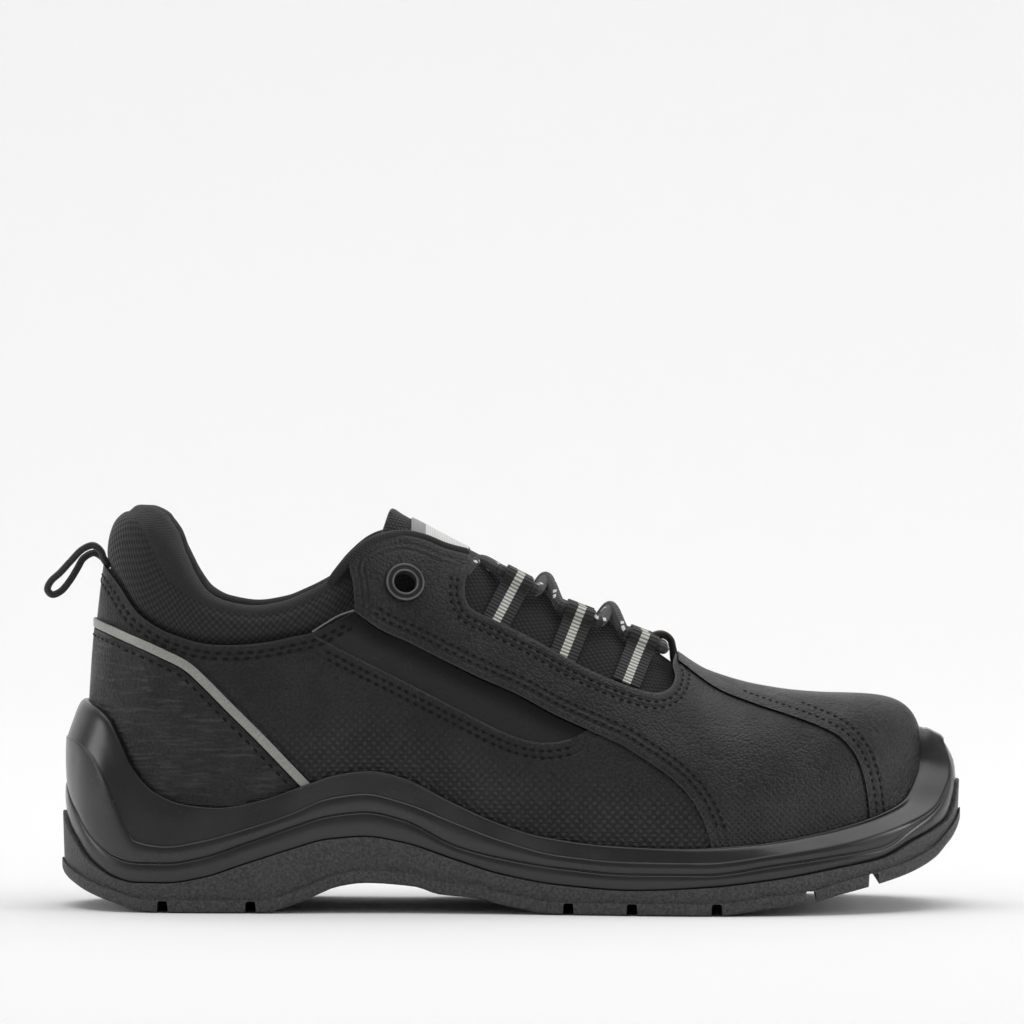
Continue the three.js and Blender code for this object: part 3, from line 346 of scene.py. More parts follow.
def add_grid(name, grid, uv=None, wrap_rows=False, wrap_columns=False, caps=False):
    """A grid of points as quads. Rows or columns that wrap are joined up, and caps close a tube's ends."""
    rows, columns = grid.shape[:2]
    r = np.arange(rows if wrap_rows else rows - 1)
    c = np.arange(columns if wrap_columns else columns - 1)
    r, c = np.meshgrid(r, c, indexing="ij")
    r1, c1 = (r + 1) % rows, (c + 1) % columns
    quads = np.stack([r * columns + c, r * columns + c1, r1 * columns + c1, r1 * columns + c], -1)
    faces = quads.reshape(-1, 4).tolist()
    corners = None
    if uv is not None:
        corners = np.stack([uv[r, c], uv[r, c + 1], uv[r + 1, c + 1], uv[r + 1, c]], 2).reshape(-1, 2)
    if caps:
        first = list(range(columns))[::-1]
        final = [(rows - 1) * columns + k for k in range(columns)]
        faces += [first, final]
        if corners is not None:
            ends = [uv[0, k] for k in first] + [uv[rows - 1, k] for k in range(columns)]
            corners = np.vstack([corners, np.array(ends)])
    obj = add_object(name, grid.reshape(-1, 3), faces, corners)
    outward(obj)
    return obj


def outward(obj):
    """Turns every face outward."""
    mesh = bmesh.new()
    mesh.from_mesh(obj.data)
    bmesh.ops.recalc_face_normals(mesh, faces=mesh.faces)
    mesh.to_mesh(obj.data)
    mesh.free()


def sweep(path, profile, normals=None):
    """A profile of (across, out) pairs along a path, with the millimetres along and round it."""
    along = unit(np.gradient(path, axis=0))
    if normals is None:
        normal = np.zeros_like(path)
        n = np.cross(along[0], [0.0, 1.0, 0.0])
        n = n if np.linalg.norm(n) > 0.1 else np.cross(along[0], [0.0, 0.0, 1.0])
        for i, t in enumerate(along):
            n = n - t * np.dot(n, t)
            n = n / np.linalg.norm(n)
            normal[i] = n
    else:
        normal = unit(normals - along * np.sum(normals * along, axis=1, keepdims=True))
    across = np.cross(along, normal)
    profile = np.asarray(profile, float)
    if profile.ndim == 2:
        profile = np.broadcast_to(profile, (len(path),) + profile.shape)
    grid = path[:, None] + across[:, None] * profile[..., :1] + normal[:, None] * profile[..., 1:]
    ring = np.concatenate([profile, profile[:, :1]], axis=1)
    steps = np.linalg.norm(np.diff(ring, axis=1), axis=2)
    round_it = np.concatenate([np.zeros((len(path), 1)), np.cumsum(steps, axis=1)], axis=1)
    uv = np.stack([np.broadcast_to(run_length(path)[:, None], round_it.shape), round_it], -1)
    return grid, uv


def circle(radius, sides=16):
    angle = np.linspace(0, 2 * np.pi, sides, endpoint=False)
    return np.stack([radius * np.cos(angle), radius * np.sin(angle)], -1)


def flat_band(width, thickness, sides=8, soft=0.35):
    """Section of a band with soft edges."""
    half, t = width / 2, thickness / 2
    top = [[x, t] for x in np.linspace(half - soft, -half + soft, sides)]
    low = [[x, -t] for x in np.linspace(-half + soft, half - soft, sides)]
    return np.array(top + [[-half + 0.3 * soft, 0.7 * t], [-half, 0], [-half + 0.3 * soft, -0.7 * t]]
                    + low + [[half - 0.3 * soft, -0.7 * t], [half, 0], [half - 0.3 * soft, 0.7 * t]])


def add_tube(name, path, diameter, sides=16):
    grid, uv = sweep(path, circle(diameter / 2, sides))
    return add_grid(name, grid, uv, wrap_columns=True, caps=True)


# Stations of a loft run round the shoe, closer together at heel and toe
STATIONS = 170
ROWS = 44
SHARE = np.linspace(0, 1, STATIONS + 1)
ROUND = SHARE + 0.25 / (2 * np.pi) * np.sin(2 * np.pi * SHARE)
PLACES = (1 - np.cos(np.pi * (1 - np.clip(1 - ROUND, 0, 1) ** 1.25))) / 2
RING_AT = np.concatenate([PLACES, PLACES[1:-1][::-1]])
RING_SIDE = np.concatenate([-np.ones(STATIONS + 1), np.ones(STATIONS - 1)])
MIRRORED = np.concatenate([[0], np.arange(2 * STATIONS - 1, 0, -1)])  # the place across the shoe


def drawn_in(ring, height=None):
    """A ring drawn in to the middle line of the shoe."""
    middle = (ring + ring[MIRRORED]) / 2
    if height is not None:
        middle[:, 2] = height(middle[:, 0])
    return middle


def add_loft(name, rings):
    obj = add_grid(name, np.array(rings), wrap_columns=True)
    mesh = bmesh.new()
    mesh.from_mesh(obj.data)
    bmesh.ops.remove_doubles(mesh, verts=mesh.verts, dist=1e-7)
    bmesh.ops.dissolve_degenerate(mesh, edges=mesh.edges, dist=1e-8)
    bmesh.ops.recalc_face_normals(mesh, faces=mesh.faces)
    mesh.to_mesh(obj.data)
    mesh.free()
    return obj


def last_solid(out, drop=0.0):
    """The last as a closed form, grown by out, reaching down by drop below the feather edge."""
    foot = last_point(RING_AT, RING_SIDE, 0.0, out)
    low = foot - [0, 0, drop]
    rings = [drawn_in(low), low] + ([foot] if drop else [])
    full = fullness(RING_AT)
    for row in range(1, ROWS):
        up = np.sin(row / ROWS * np.pi / 2) ** (2 / full)
        rings.append(last_point(RING_AT, RING_SIDE, up, out))
    rings.append(last_point(RING_AT, RING_SIDE, 1.0, out))
    return add_loft("last", rings)


def prism(points, reach=90.0):
    """An outline seen from the side, pushed right through the shoe."""
    count = len(points)
    near = [[x, -reach, z] for x, z in points]
    away = [[x, reach, z] for x, z in points]
    faces = [list(range(count)), list(range(2 * count - 1, count - 1, -1))]
    faces += [[i, i + count, (i + 1) % count + count, (i + 1) % count] for i in range(count)]
    obj = add_object("prism", near + away, faces)
    outward(obj)
    return obj


def baked(obj):
    """The object with its modifiers turned into mesh."""
    graph = bpy.context.evaluated_depsgraph_get()
    mesh = bpy.data.meshes.new_from_object(obj.evaluated_get(graph))
    obj.modifiers.clear()
    obj.data = mesh
    return obj


def combine(body, other, operation):
    """Joins, cuts or intersects a body with another, which is used up."""
    modifier = body.modifiers.new("combine", "BOOLEAN")
    modifier.operation = operation
    modifier.solver = "MANIFOLD"
    modifier.object = other
    baked(body)
    bpy.data.objects.remove(other, do_unlink=True)
    return body


def distance_to(line, x, z):
    """Distance from places seen from the side to a line seen from the side."""
    nearest = np.full(np.shape(x), 1e9)
    for (ax, az), (bx, bz) in zip(line[:-1], line[1:]):
        dx, dz = bx - ax, bz - az
        t = np.clip(((x - ax) * dx + (z - az) * dz) / (dx * dx + dz * dz + 1e-12), 0, 1)
        nearest = np.minimum(nearest, np.hypot(x - ax - t * dx, z - az - t * dz))
    return nearest


def inside(outline_points, x, z):
    """Which places lie inside an outline seen from the side."""
    hit = np.zeros(np.shape(x), bool)
    p = np.asarray(outline_points, float)
    for (ax, az), (bx, bz) in zip(p, np.roll(p, -1, axis=0)):
        crosses = (az > z) != (bz > z)
        hit ^= crosses & (x < ax + (z - az) * (bx - ax) / (bz - az + 1e-12))
    return hit


def on_shoe(obj):
    """A mesh's points in millimetres on the shoe."""
    flat = np.empty(len(obj.data.vertices) * 3)
    obj.data.vertices.foreach_get("co", flat)
    return flat.reshape(-1, 3) * 1000 - HEEL_TO_ORIGIN


def store(obj, name, values):
    """Keeps one number for each point of a mesh, for its material to read."""
    attribute = obj.data.attributes.new(name, "FLOAT", "POINT")
    attribute.data.foreach_set("value", np.asarray(values, np.float32))


# Pieces

def make_pull_loop():
    """Cord loop that hangs behind the heel, both its ends sewn in under the collar."""
    route = smooth_path([
        [16.2, -1.3, 113.8], [14.3, -1.3, 116.4], [13.1, -1.3, 119.4], [10.6, -1.3, 121.2],
        [7, -1.3, 119.9], [3, -1.1, 115.9], [-0.6, -0.7, 112], [-3.9, -0.2, 108.9], [-4.9, 0, 106.3],
        [-3.4, 0.2, 104.6], [-0.6, 0.7, 105.6], [2.4, 1.1, 109], [5, 1.3, 113.2], [7.2, 1.3, 116.8],
        [10.8, 1.3, 118.6], [14.3, 1.3, 116.4], [16.2, 1.3, 113.8],
    ], 0.4)
    cord = add_tube("pull_loop_cord", route, PULL_CORD_DIAMETER, 14)
    return cord


# Heights on the sole's wall and how far it leans back there over the toe
TOE_LEAN_UP, TOE_LEAN = (43, 49, 55, 60), (0, 1.2, 3.9, 5.4)
# Section of the outsole's side: inset and height above the tread, from the rounded edge to above the step
OUTSOLE_SIDE = (
    (1.0, 0.12), (0.4, 0.5), (0.1, 0.95), (0.0, 1.5), (0.0, TREAD_STEP - 0.35), (0.15, TREAD_STEP),
    (0.8, TREAD_STEP + 0.25), (0.9, TREAD_STEP + 0.6), (0.75, TREAD_STEP + 1.0),
)
TREAD_INSET = 1.4
BED_INSET = RIM_WIDTH + 2
# Midsole wall from its crease to its lip: share of the way up, and how far it bulges out
WALL_BULGE = ((0.12, 0.04), (0.3, 0.07), (0.5, 0.1), (0.72, 0.13), (0.9, 0.1))
# Section of the insole's edge: height above the seat, and inset
INSOLE_EDGE = ((0.3, 0), (0.6, -0.1), (3.6, -0.1), (4.1, 0.3), (4.3, 1.0))
INSOLE_DISH = 0.5


def sole_ring(inset, height):
    """A ring of the sole's wall. Over the toe the wall leans back as it rises."""
    x, y = outline(SOLE, RING_AT, RING_SIDE, -inset)
    up = height(x) * np.ones_like(x)
    lean = np.where(RING_AT > 0.5, np.interp(up, TOE_LEAN_UP, TOE_LEAN), 0.0)
    x, y = outline(SOLE, RING_AT, RING_SIDE, -inset - lean)
    return np.stack([x, y, up], -1)


RIM_UP, GROOVE_UP = HEEL_WRAP * rim_share(RING_AT), HEEL_WRAP * groove_share(RING_AT)
CREASE_UP, WAVE_UP = HEEL_WRAP * crease_share(RING_AT), HEEL_WRAP * wave_share(RING_AT)


def interface_up(x):
    """Height of the bed where the midsole sits in the outsole."""
    return np.minimum(RIM_UP, tread_up(x) + OUTSOLE_THICKNESS)


def make_outsole():
    """Moulded sole: rounded tread edge, a step round its side, a rim that cups the midsole, and lugs."""
    under = sole_ring(TREAD_INSET, tread_up)
    bed = sole_ring(BED_INSET, interface_up)
    rings = [
        drawn_in(under, tread_up),
        under,
        *(sole_ring(inset, lambda x: tread_up(x) + rise) for inset, rise in OUTSOLE_SIDE),
        sole_ring(0.5, lambda x: (tread_up(x) + TREAD_STEP + 1.0 + RIM_UP) / 2),
        *(sole_ring(inset, lambda x: RIM_UP - drop) for inset, drop in (
            (0.3, 0.35), (0.55, 0.05), (0.9, 0), (RIM_WIDTH, 0))),
        bed,
        drawn_in(bed),
    ]
    body = add_loft("outsole_rubber", rings)
    for at, slant in LUG_GAPS:
        x = SOLE_LENGTH * at
        low, high = CHANNEL_WIDTH / 2 + CHANNEL_DRAFT, CHANNEL_WIDTH / 2 - CHANNEL_DRAFT
        top = tread_up(x) + LUG_DEPTH
        soft = 0.4
        cutter = prism([[-low, -20], [low, -20], [high, top - soft], [high - soft, top], [soft - high, top],
                        [-high, top - soft]])
        flat = on_shoe(cutter)
        turned = np.stack([flat[:, 0] * np.cos(slant) - flat[:, 1] * np.sin(slant) + x,
                           flat[:, 0] * np.sin(slant) + flat[:, 1] * np.cos(slant), flat[:, 2]], -1)
        cutter.data.vertices.foreach_set("co", place(turned).ravel())
        combine(body, cutter, "DIFFERENCE")
    half = CHANNEL_WIDTH / 2
    ends = [SOLE_LENGTH * 0.05, SOLE_LENGTH * 0.95]
    corners = [[x, y, z] for x in ends for y in (-half, half) for z in (-LUG_DEPTH, LUG_DEPTH)]
    groove = add_object("groove", corners, [
        (0, 1, 3, 2), (4, 6, 7, 5), (0, 4, 5, 1), (2, 3, 7, 6), (0, 2, 6, 4), (1, 5, 7, 3)])
    outward(groove)
    combine(body, groove, "DIFFERENCE")
    body.data.shade_smooth()
    body.data.set_sharp_from_angle(angle=math.radians(38))
    return body


def make_midsole():
    """Injected cup: thin band, groove, middle band, crease, then a bulging wall up to its wavy lip."""
    half = np.minimum(0.7, 0.3 * (CREASE_UP - GROOVE_UP))
    rim = RIM_UP + BED_CLEARANCE
    lip = last_at_height(RING_AT, RING_SIDE, WAVE_UP, 3 * LAYER + GAP + 0.9)
    low = sole_ring(MIDSOLE_INSET + 0.4, lambda x: CREASE_UP)

    def wall_ring(share, bulge):
        ring = low + (lip - low) * share
        ring[:, :2] = low[:, :2] + (lip - low)[:, :2] * (share - bulge)
        return ring

    keys = [
        sole_ring(MIDSOLE_INSET + 0.15, lambda x: rim),
        sole_ring(MIDSOLE_INSET, lambda x: rim + 0.5),
        sole_ring(MIDSOLE_INSET - 0.4, lambda x: (rim + GROOVE_UP) / 2),
        sole_ring(MIDSOLE_INSET - 0.2, lambda x: GROOVE_UP - half),
        sole_ring(MIDSOLE_INSET + 0.45, lambda x: GROOVE_UP),
        sole_ring(MIDSOLE_INSET, lambda x: GROOVE_UP + 0.8 * half),
        sole_ring(MIDSOLE_INSET - 0.3, lambda x: (GROOVE_UP + CREASE_UP) / 2),
        sole_ring(MIDSOLE_INSET - 0.1, lambda x: CREASE_UP - half),
        sole_ring(MIDSOLE_INSET + 0.35, lambda x: CREASE_UP),
        *(wall_ring(share, bulge) for share, bulge in WALL_BULGE),
        last_at_height(RING_AT, RING_SIDE, WAVE_UP - 0.3, 3 * LAYER + GAP + 0.95),
        last_at_height(RING_AT, RING_SIDE, WAVE_UP, 3 * LAYER + GAP + 0.5),
        last_at_height(RING_AT, RING_SIDE, WAVE_UP + 0.1, 2 * LAYER + GAP + 0.2),
    ]
    stack = np.array(keys)
    fine = []
    for i in range(len(stack) - 1):
        before, a, b, after = stack[max(i - 1, 0)], stack[i], stack[i + 1], stack[min(i + 2, len(stack) - 1)]
        for t in (0, 0.33, 0.67):
            fine.append(0.5 * (2 * a + (b - before) * t + (2 * before - 5 * a + 4 * b - after) * t * t
                               + (3 * a - before - 3 * b + after) * t ** 3))
    fine.append(stack[-1])
    bed = sole_ring(BED_INSET + BED_CLEARANCE, lambda x: interface_up(x) + BED_CLEARANCE)
    seat = SEAT_HEIGHT * seat_up(RING_AT)
    floor = last_at_height(RING_AT, RING_SIDE, seat, -0.5)
    rings = [drawn_in(bed), bed, sole_ring(RIM_WIDTH + BED_CLEARANCE, lambda x: rim)] + fine + [
        last_at_height(RING_AT, RING_SIDE, WAVE_UP - 0.4, 0.95),
        last_at_height(RING_AT, RING_SIDE, WAVE_UP - 2.5, 0.1),
        floor,
        drawn_in(floor),
    ]
    return add_loft("midsole_foam", rings)


def make_insole():
    """Flat foam sole inside, rounded at its edge and a little dished."""
    seat = SEAT_HEIGHT * seat_up(RING_AT)
    rings = []
    for rise, inset in INSOLE_EDGE:
        rings.append(last_at_height(RING_AT, RING_SIDE, seat + rise, -WALL - 2 * GAP - inset))
    rings = [drawn_in(rings[0])] + rings
    middle = drawn_in(rings[-1])
    rim = rings[-1]
    for share in (0.25, 0.5, 0.75):
        ring = rim + (middle - rim) * share
        ring[:, 2] -= INSOLE_DISH * np.sin(share * np.pi / 2)
        rings.append(ring)
    middle[:, 2] -= INSOLE_DISH
    rings.append(middle)
    return add_loft("insole_board", rings)


# Cutting outlines seen from the side reach this far: FAR forward and up, PAST beyond the shoe's ends
FAR, PAST = 300.0, 60.0
SMOOTH = {name: smooth_path(line, 1.2) for name, line in {
    "collar": COLLAR_LINE, "eyestay": EYESTAY_TOP, "throat": THROAT, "recess_top": RECESS_TOP,
    "recess_bottom": RECESS_BOTTOM, "vamp": VAMP_SEAM, "toe": TOE_SEAM, "strip": STRIP_LINE}.items()}
SMOOTH["overlay"] = smooth_path(np.vstack([RECESS_TOP, VAMP_SEAM]), 1.2)
RECESS = np.vstack([SMOOTH["recess_top"], SMOOTH["recess_bottom"]])
VAMP = np.vstack([SMOOTH["recess_top"], SMOOTH["vamp"], [[FAR + PAST, -PAST], [FAR + PAST, FAR]],
                  [[EYESTAY_BACK[0], FAR], EYESTAY_BACK]])
TOE = np.vstack([SMOOTH["toe"], [[FAR + PAST, -PAST], [FAR + PAST, FAR], [TOE_SEAM[0, 0], FAR]]])
COUNTER_TOP = SMOOTH["strip"] - STRIP_WIDTH / 2
COUNTER_SLANT = 4.7
COUNTER = np.vstack([COUNTER_TOP, [[COUNTER_TOP[-1, 0] + COUNTER_SLANT, -PAST], [-PAST, -PAST],
                                   [-PAST, COUNTER_TOP[0, 1]]]])
THROAT_SLANT = 0.007 * SOLE_LENGTH
OPENING = np.vstack([[[-PAST, COLLAR_LINE[0, 1]]], SMOOTH["collar"], SMOOTH["eyestay"], SMOOTH["throat"],
                     [[THROAT[-1, 0] + THROAT_SLANT, FAR], [-PAST, FAR]]])
OPENING_EDGE = np.vstack([SMOOTH["collar"], SMOOTH["eyestay"], SMOOTH["throat"]])


OPEN_BELOW, DRILL_REACH = 12.0, 8.0
# A line of points inside the foot, from which a face of the upper faces outward or inward
CORE_ENDS, CORE_X, CORE_Z = (45, 262), (0, 100, 200, 300), (70, 60, 40, 36)


def make_upper():
    """Leather shell: quarter, vamp with eyestay, toe cap and counter as layers, with the sunk panel."""
    sink = combine(last_solid(3 * LAYER), last_solid(0.0), "DIFFERENCE")
    sink = combine(sink, prism(RECESS), "INTERSECT")
    shell = combine(last_solid(LAYER), sink, "DIFFERENCE")
    for out, edge in ((2 * LAYER, VAMP), (3 * LAYER, TOE), (2 * LAYER, COUNTER)):
        panel = combine(last_solid(out), prism(edge), "INTERSECT")
        combine(shell, panel, "UNION")
    combine(shell, last_solid(-WALL, OPEN_BELOW), "DIFFERENCE")
    combine(shell, prism(OPENING), "DIFFERENCE")
    for side in SIDES.values():
        here, normal = skin_normal(EYELET_AT[0], EYELET_AT[1], side, 2 * LAYER)
        for radius, low in ((EYELET_HOLE + EYELET_WALL + 0.1, -DRILL_REACH), (EYELET_FLANGE + 0.15, 0.0)):
            drill, _ = sweep(np.array([here + normal * low, here + normal * DRILL_REACH]), circle(radius, 48))
            combine(shell, add_grid("drill", drill, wrap_columns=True, caps=True), "DIFFERENCE")
    shell.name = "leather_upper"
    dress_upper(shell)
    return shell


def dress_upper(shell):
    """Gives each face its leather, in the order in which dress() is given them, and each point the distances
    that its material reads."""
    points = on_shoe(shell)
    mesh = shell.data
    count = len(mesh.polygons)
    centres, normals = np.empty(count * 3), np.empty(count * 3)
    mesh.polygons.foreach_get("center", centres)
    mesh.polygons.foreach_get("normal", normals)
    centres = centres.reshape(-1, 3) * 1000 - HEEL_TO_ORIGIN
    normals = normals.reshape(-1, 3)
    x, y, z = centres.T
    core = np.stack([np.clip(x, *CORE_ENDS), np.full(count, 2.0), np.interp(x, CORE_X, CORE_Z)], -1)
    facing = np.sum(unit(centres - core) * normals, axis=1)
    part = np.zeros(count, int)
    for area, number in ((COUNTER, 3), (RECESS, 4), (VAMP, 1), (TOE, 2)):
        part[inside(area, x, z)] = number
    part[facing < -0.25] = 5
    mesh.polygons.foreach_set("material_index", part)
    mesh.shade_smooth()
    mesh.set_sharp_from_angle(angle=math.radians(42))

    px, pz = points[:, 0], points[:, 2]
    overlay_edge = np.vstack([[EYESTAY_BACK], RECESS_TOP[:1], SMOOTH["recess_top"], SMOOTH["vamp"]])
    store(shell, "from_opening", distance_to(OPENING_EDGE, px, pz))
    store(shell, "from_overlay", distance_to(overlay_edge, px, pz))
    store(shell, "from_panel", distance_to(SMOOTH["recess_bottom"], px, pz))
    store(shell, "from_toe_seam", distance_to(SMOOTH["toe"], px, pz))
    store(shell, "from_strip", distance_to(SMOOTH["strip"], px, pz))
    wave = np.interp(px, SOLE_LENGTH * SIDE_LINES[:, 0], HEEL_WRAP * SIDE_LINES[:, 4])
    store(shell, "above_sole", pz - wave)


STRIP_END, STRIP_STATIONS = 0.284, 90
HEEL_ROUND, HEEL_CENTRE = 16.0, 38.0


def make_strip():
    """Reflective tape round the heel and down both quarters."""
    at = STRIP_END * np.linspace(0, 1, STRIP_STATIONS) ** 1.5
    at = np.concatenate([at[::-1], at[1:]])
    side = np.concatenate([-np.ones(STRIP_STATIONS), np.ones(STRIP_STATIONS - 1)])
    out = 2 * LAYER + 0.1
    z = np.full(at.shape, STRIP_LINE[0, 1])
    for _ in range(30):
        x = last_at_height(at, side, z, out)[:, 0]
        z = np.interp(x, SMOOTH["strip"][:, 0], SMOOTH["strip"][:, 1])
    path = evenly(last_at_height(at, side, z, out), 0.8)
    turned = np.where(path[:, 1] < 0, -1.0, 1.0)
    probe = []
    for point, s in zip(path, turned):
        if point[0] < HEEL_ROUND:
            probe.append([point[0] - HEEL_CENTRE, point[1], 0])
        else:
            probe.append(skin_normal(point[0], point[2], s, out)[1])
    normals = unit(np.array(probe))
    for _ in range(6):
        normals[1:-1] = unit(normals[:-2] + normals[1:-1] + normals[2:])
    grid, uv = sweep(path, flat_band(STRIP_WIDTH, 0.7, 6, 0.3), normals)
    return add_grid("reflective_tape", grid, uv, wrap_columns=True, caps=True)


ROLL_SEAM = smooth_path([
    [22.5, 134], [24.1, 132.6], [29.9, 124.1], [36.2, 111.7], [45.6, 104.1], [58.1, 99.6], [72.3, 99.4],
    [86, 104.5], [97, 111.5],
], 1.0)
COLLAR_STATIONS, COLLAR_POINTS = 110, 84
# The collar thins toward its front ends: share of the length left, and share of its padding
THIN_FROM, THIN_TO = (0.0, 0.012, 0.03), (0.3, 0.75, 1.0)
PINCH_DEPTH, PINCH_WIDTH = 0.75, 1.3
OUTER_FACE = 0.62


def make_collar():
    """Padded ring of mesh cloth, rolled over at the top, with a sewn line along the roll."""
    end = COLLAR_SECTIONS[-1, 0]
    at = end * np.linspace(0, 1, COLLAR_STATIONS) ** 1.35
    at = np.concatenate([at[::-1], at[1:]])
    side = np.concatenate([-np.ones(COLLAR_STATIONS), np.ones(COLLAR_STATIONS - 1)])
    high = COLLAR_LOW * collar_top(at)
    first_x = last_at_height(at, side, COLLAR_LOW, 0.0)[:, 0]
    edge = partial(np.interp, xp=SMOOTH["collar"][:, 0], fp=SMOOTH["collar"][:, 1])
    low = edge(last_at_height(at, side, edge(first_x), 0.0)[:, 0])
    thinned = np.interp(end - at, THIN_FROM, THIN_TO)
    thick, out, tip = collar_padding(at) * thinned, collar_bulge(at), -collar_lean(at)
    tucked = -WALL - GAP - 0.1
    rows = [
        (low - 14, tucked - 1.5 + 0 * out), (low - 10, tucked + 0 * out), (low + 0.6, tucked + 0 * out),
        (low + 3.4, out - 0.5), ((low + high) / 2, out), (high - 5, out + tip * 0.35),
        (high - 1.6, tip + out - thick * 0.1), (high, tip - thick * 0.4), (high - 1.6, tip - thick * 0.8),
        (high - 6, tip - thick), ((low + high) / 2 - 4, -thick), (low - 8, tucked - thick * 0.45),
    ]
    keys = np.stack([last_at_height(at, side, z, o) for z, o in rows], 1)
    sections = np.array([closed_section(section, COLLAR_POINTS) for section in keys])
    middle = sections.mean(axis=1, keepdims=True)
    x, z = sections[..., 0], sections[..., 2]
    away = distance_to(ROLL_SEAM, x.ravel(), z.ravel()).reshape(x.shape)
    outer_face = np.arange(COLLAR_POINTS)[None, :] / COLLAR_POINTS < OUTER_FACE
    pinch = PINCH_DEPTH * np.exp(-(away / PINCH_WIDTH) ** 2) * outer_face
    sections = sections + unit(middle - sections) * pinch[..., None]
    along = run_length(sections.mean(axis=1))
    ring = np.concatenate([sections, sections[:, :1]], axis=1)
    steps = np.linalg.norm(np.diff(ring, axis=1), axis=2)
    up = np.concatenate([np.zeros((len(ring), 1)), np.cumsum(steps, axis=1)], axis=1)
    uv = np.stack([np.broadcast_to(along[:, None], up.shape), up], -1)
    collar = add_grid("padded_collar", sections, uv, wrap_columns=True, caps=True)
    points = on_shoe(collar)
    above = points[:, 2] - np.interp(points[:, 0], ROLL_SEAM[:, 0], ROLL_SEAM[:, 1])
    store(collar, "above_roll_seam", above)
    return collar


def closed_section(points, count):
    """A closed smooth section with a set number of points, starting at its first one."""
    ring = smooth_path(points, 0.3, closed=True)
    run = run_length(ring)
    stops = np.linspace(0, run[-1], count, endpoint=False)
    return np.stack([np.interp(stops, run, ring[:, k]) for k in range(3)], -1)


def ridge_point(x, out):
    """Point on the last's ridge, found by asking for one higher than the shoe."""
    return last_seen(x, 400.0, -1, out)


TONGUE_INSET, TONGUE_VOXEL = 0.35, 0.0011
TONGUE_FALL = (0.88, 0.47)


def make_tongue():
    """Padded tongue under the eyestays, its free end rounded over."""
    under = THROAT[3:10] - [3.5, 7.0]
    edge = np.vstack([TONGUE_EDGE, under, TONGUE_TOE, [[TONGUE_TOE[1, 0], FAR], [TONGUE_EDGE[0, 0], FAR]]])
    core = last_solid(TONGUE_OUT - TONGUE_PADDING)
    body = combine(last_solid(TONGUE_OUT - TONGUE_INSET), core, "DIFFERENCE")
    combine(body, prism(edge), "INTERSECT")
    remesh = body.modifiers.new("remesh", "REMESH")
    remesh.mode = "VOXEL"
    remesh.voxel_size = TONGUE_VOXEL
    soften = body.modifiers.new("soften", "SMOOTH")
    soften.factor = 0.5
    soften.iterations = 9
    baked(body)
    body.data.shade_smooth()
    body.name = "padded_tongue"
    points = on_shoe(body)
    top = ridge_point(points[:, 0], TONGUE_OUT)
    off = points[:, 1] - top[:, 1]
    across = np.sign(off) * (np.abs(off) + 0.7 * (top[:, 2] - points[:, 2]))
    along = points[:, 0] * TONGUE_FALL[0] - points[:, 2] * TONGUE_FALL[1]
    layer = body.data.uv_layers.new(name="cloth")
    loops = np.empty(len(body.data.loops), int)
    body.data.loops.foreach_get("vertex_index", loops)
    layer.data.foreach_set("uv", np.stack([along, across], -1)[loops].astype(np.float32).ravel())
    return body


LABEL_ENDS = SOLE_LENGTH * np.array([0.389, 0.452])
LABEL_FOOT = SIDE_SHARE * [[0.385, 0.93], [0.445, 0.85]]
LABEL_HALF, LABEL_THICKNESS, LABEL_SUNK = 20.0, 0.0005, 0.1


def make_label():
    """Woven label sewn over the tongue: a grey band and a white field."""
    x = np.linspace(*LABEL_ENDS, 30)
    low = np.interp(x, LABEL_FOOT[:, 0], LABEL_FOOT[:, 1])
    share = np.linspace(-1, 1, 61)
    rows = []
    for s in share:
        top = ridge_point(x, TONGUE_OUT)[:, 2]
        side = -1 if s < 0 else 1
        rows.append(last_seen(x, top - (top - low) * abs(s) ** 1.7, side, TONGUE_OUT - LABEL_SUNK))
    grid = np.array(rows)
    uv = np.stack(np.broadcast_arrays(x[None, :] - x[0], share[:, None] * LABEL_HALF), -1)
    label = add_grid("woven_label", grid, uv)
    thick = label.modifiers.new("thickness", "SOLIDIFY")
    thick.thickness = LABEL_THICKNESS
    thick.offset = 1.0
    baked(label)
    label.data.shade_smooth()
    label.data.set_sharp_from_angle(angle=math.radians(40))
    return label


BEAD = 0.35


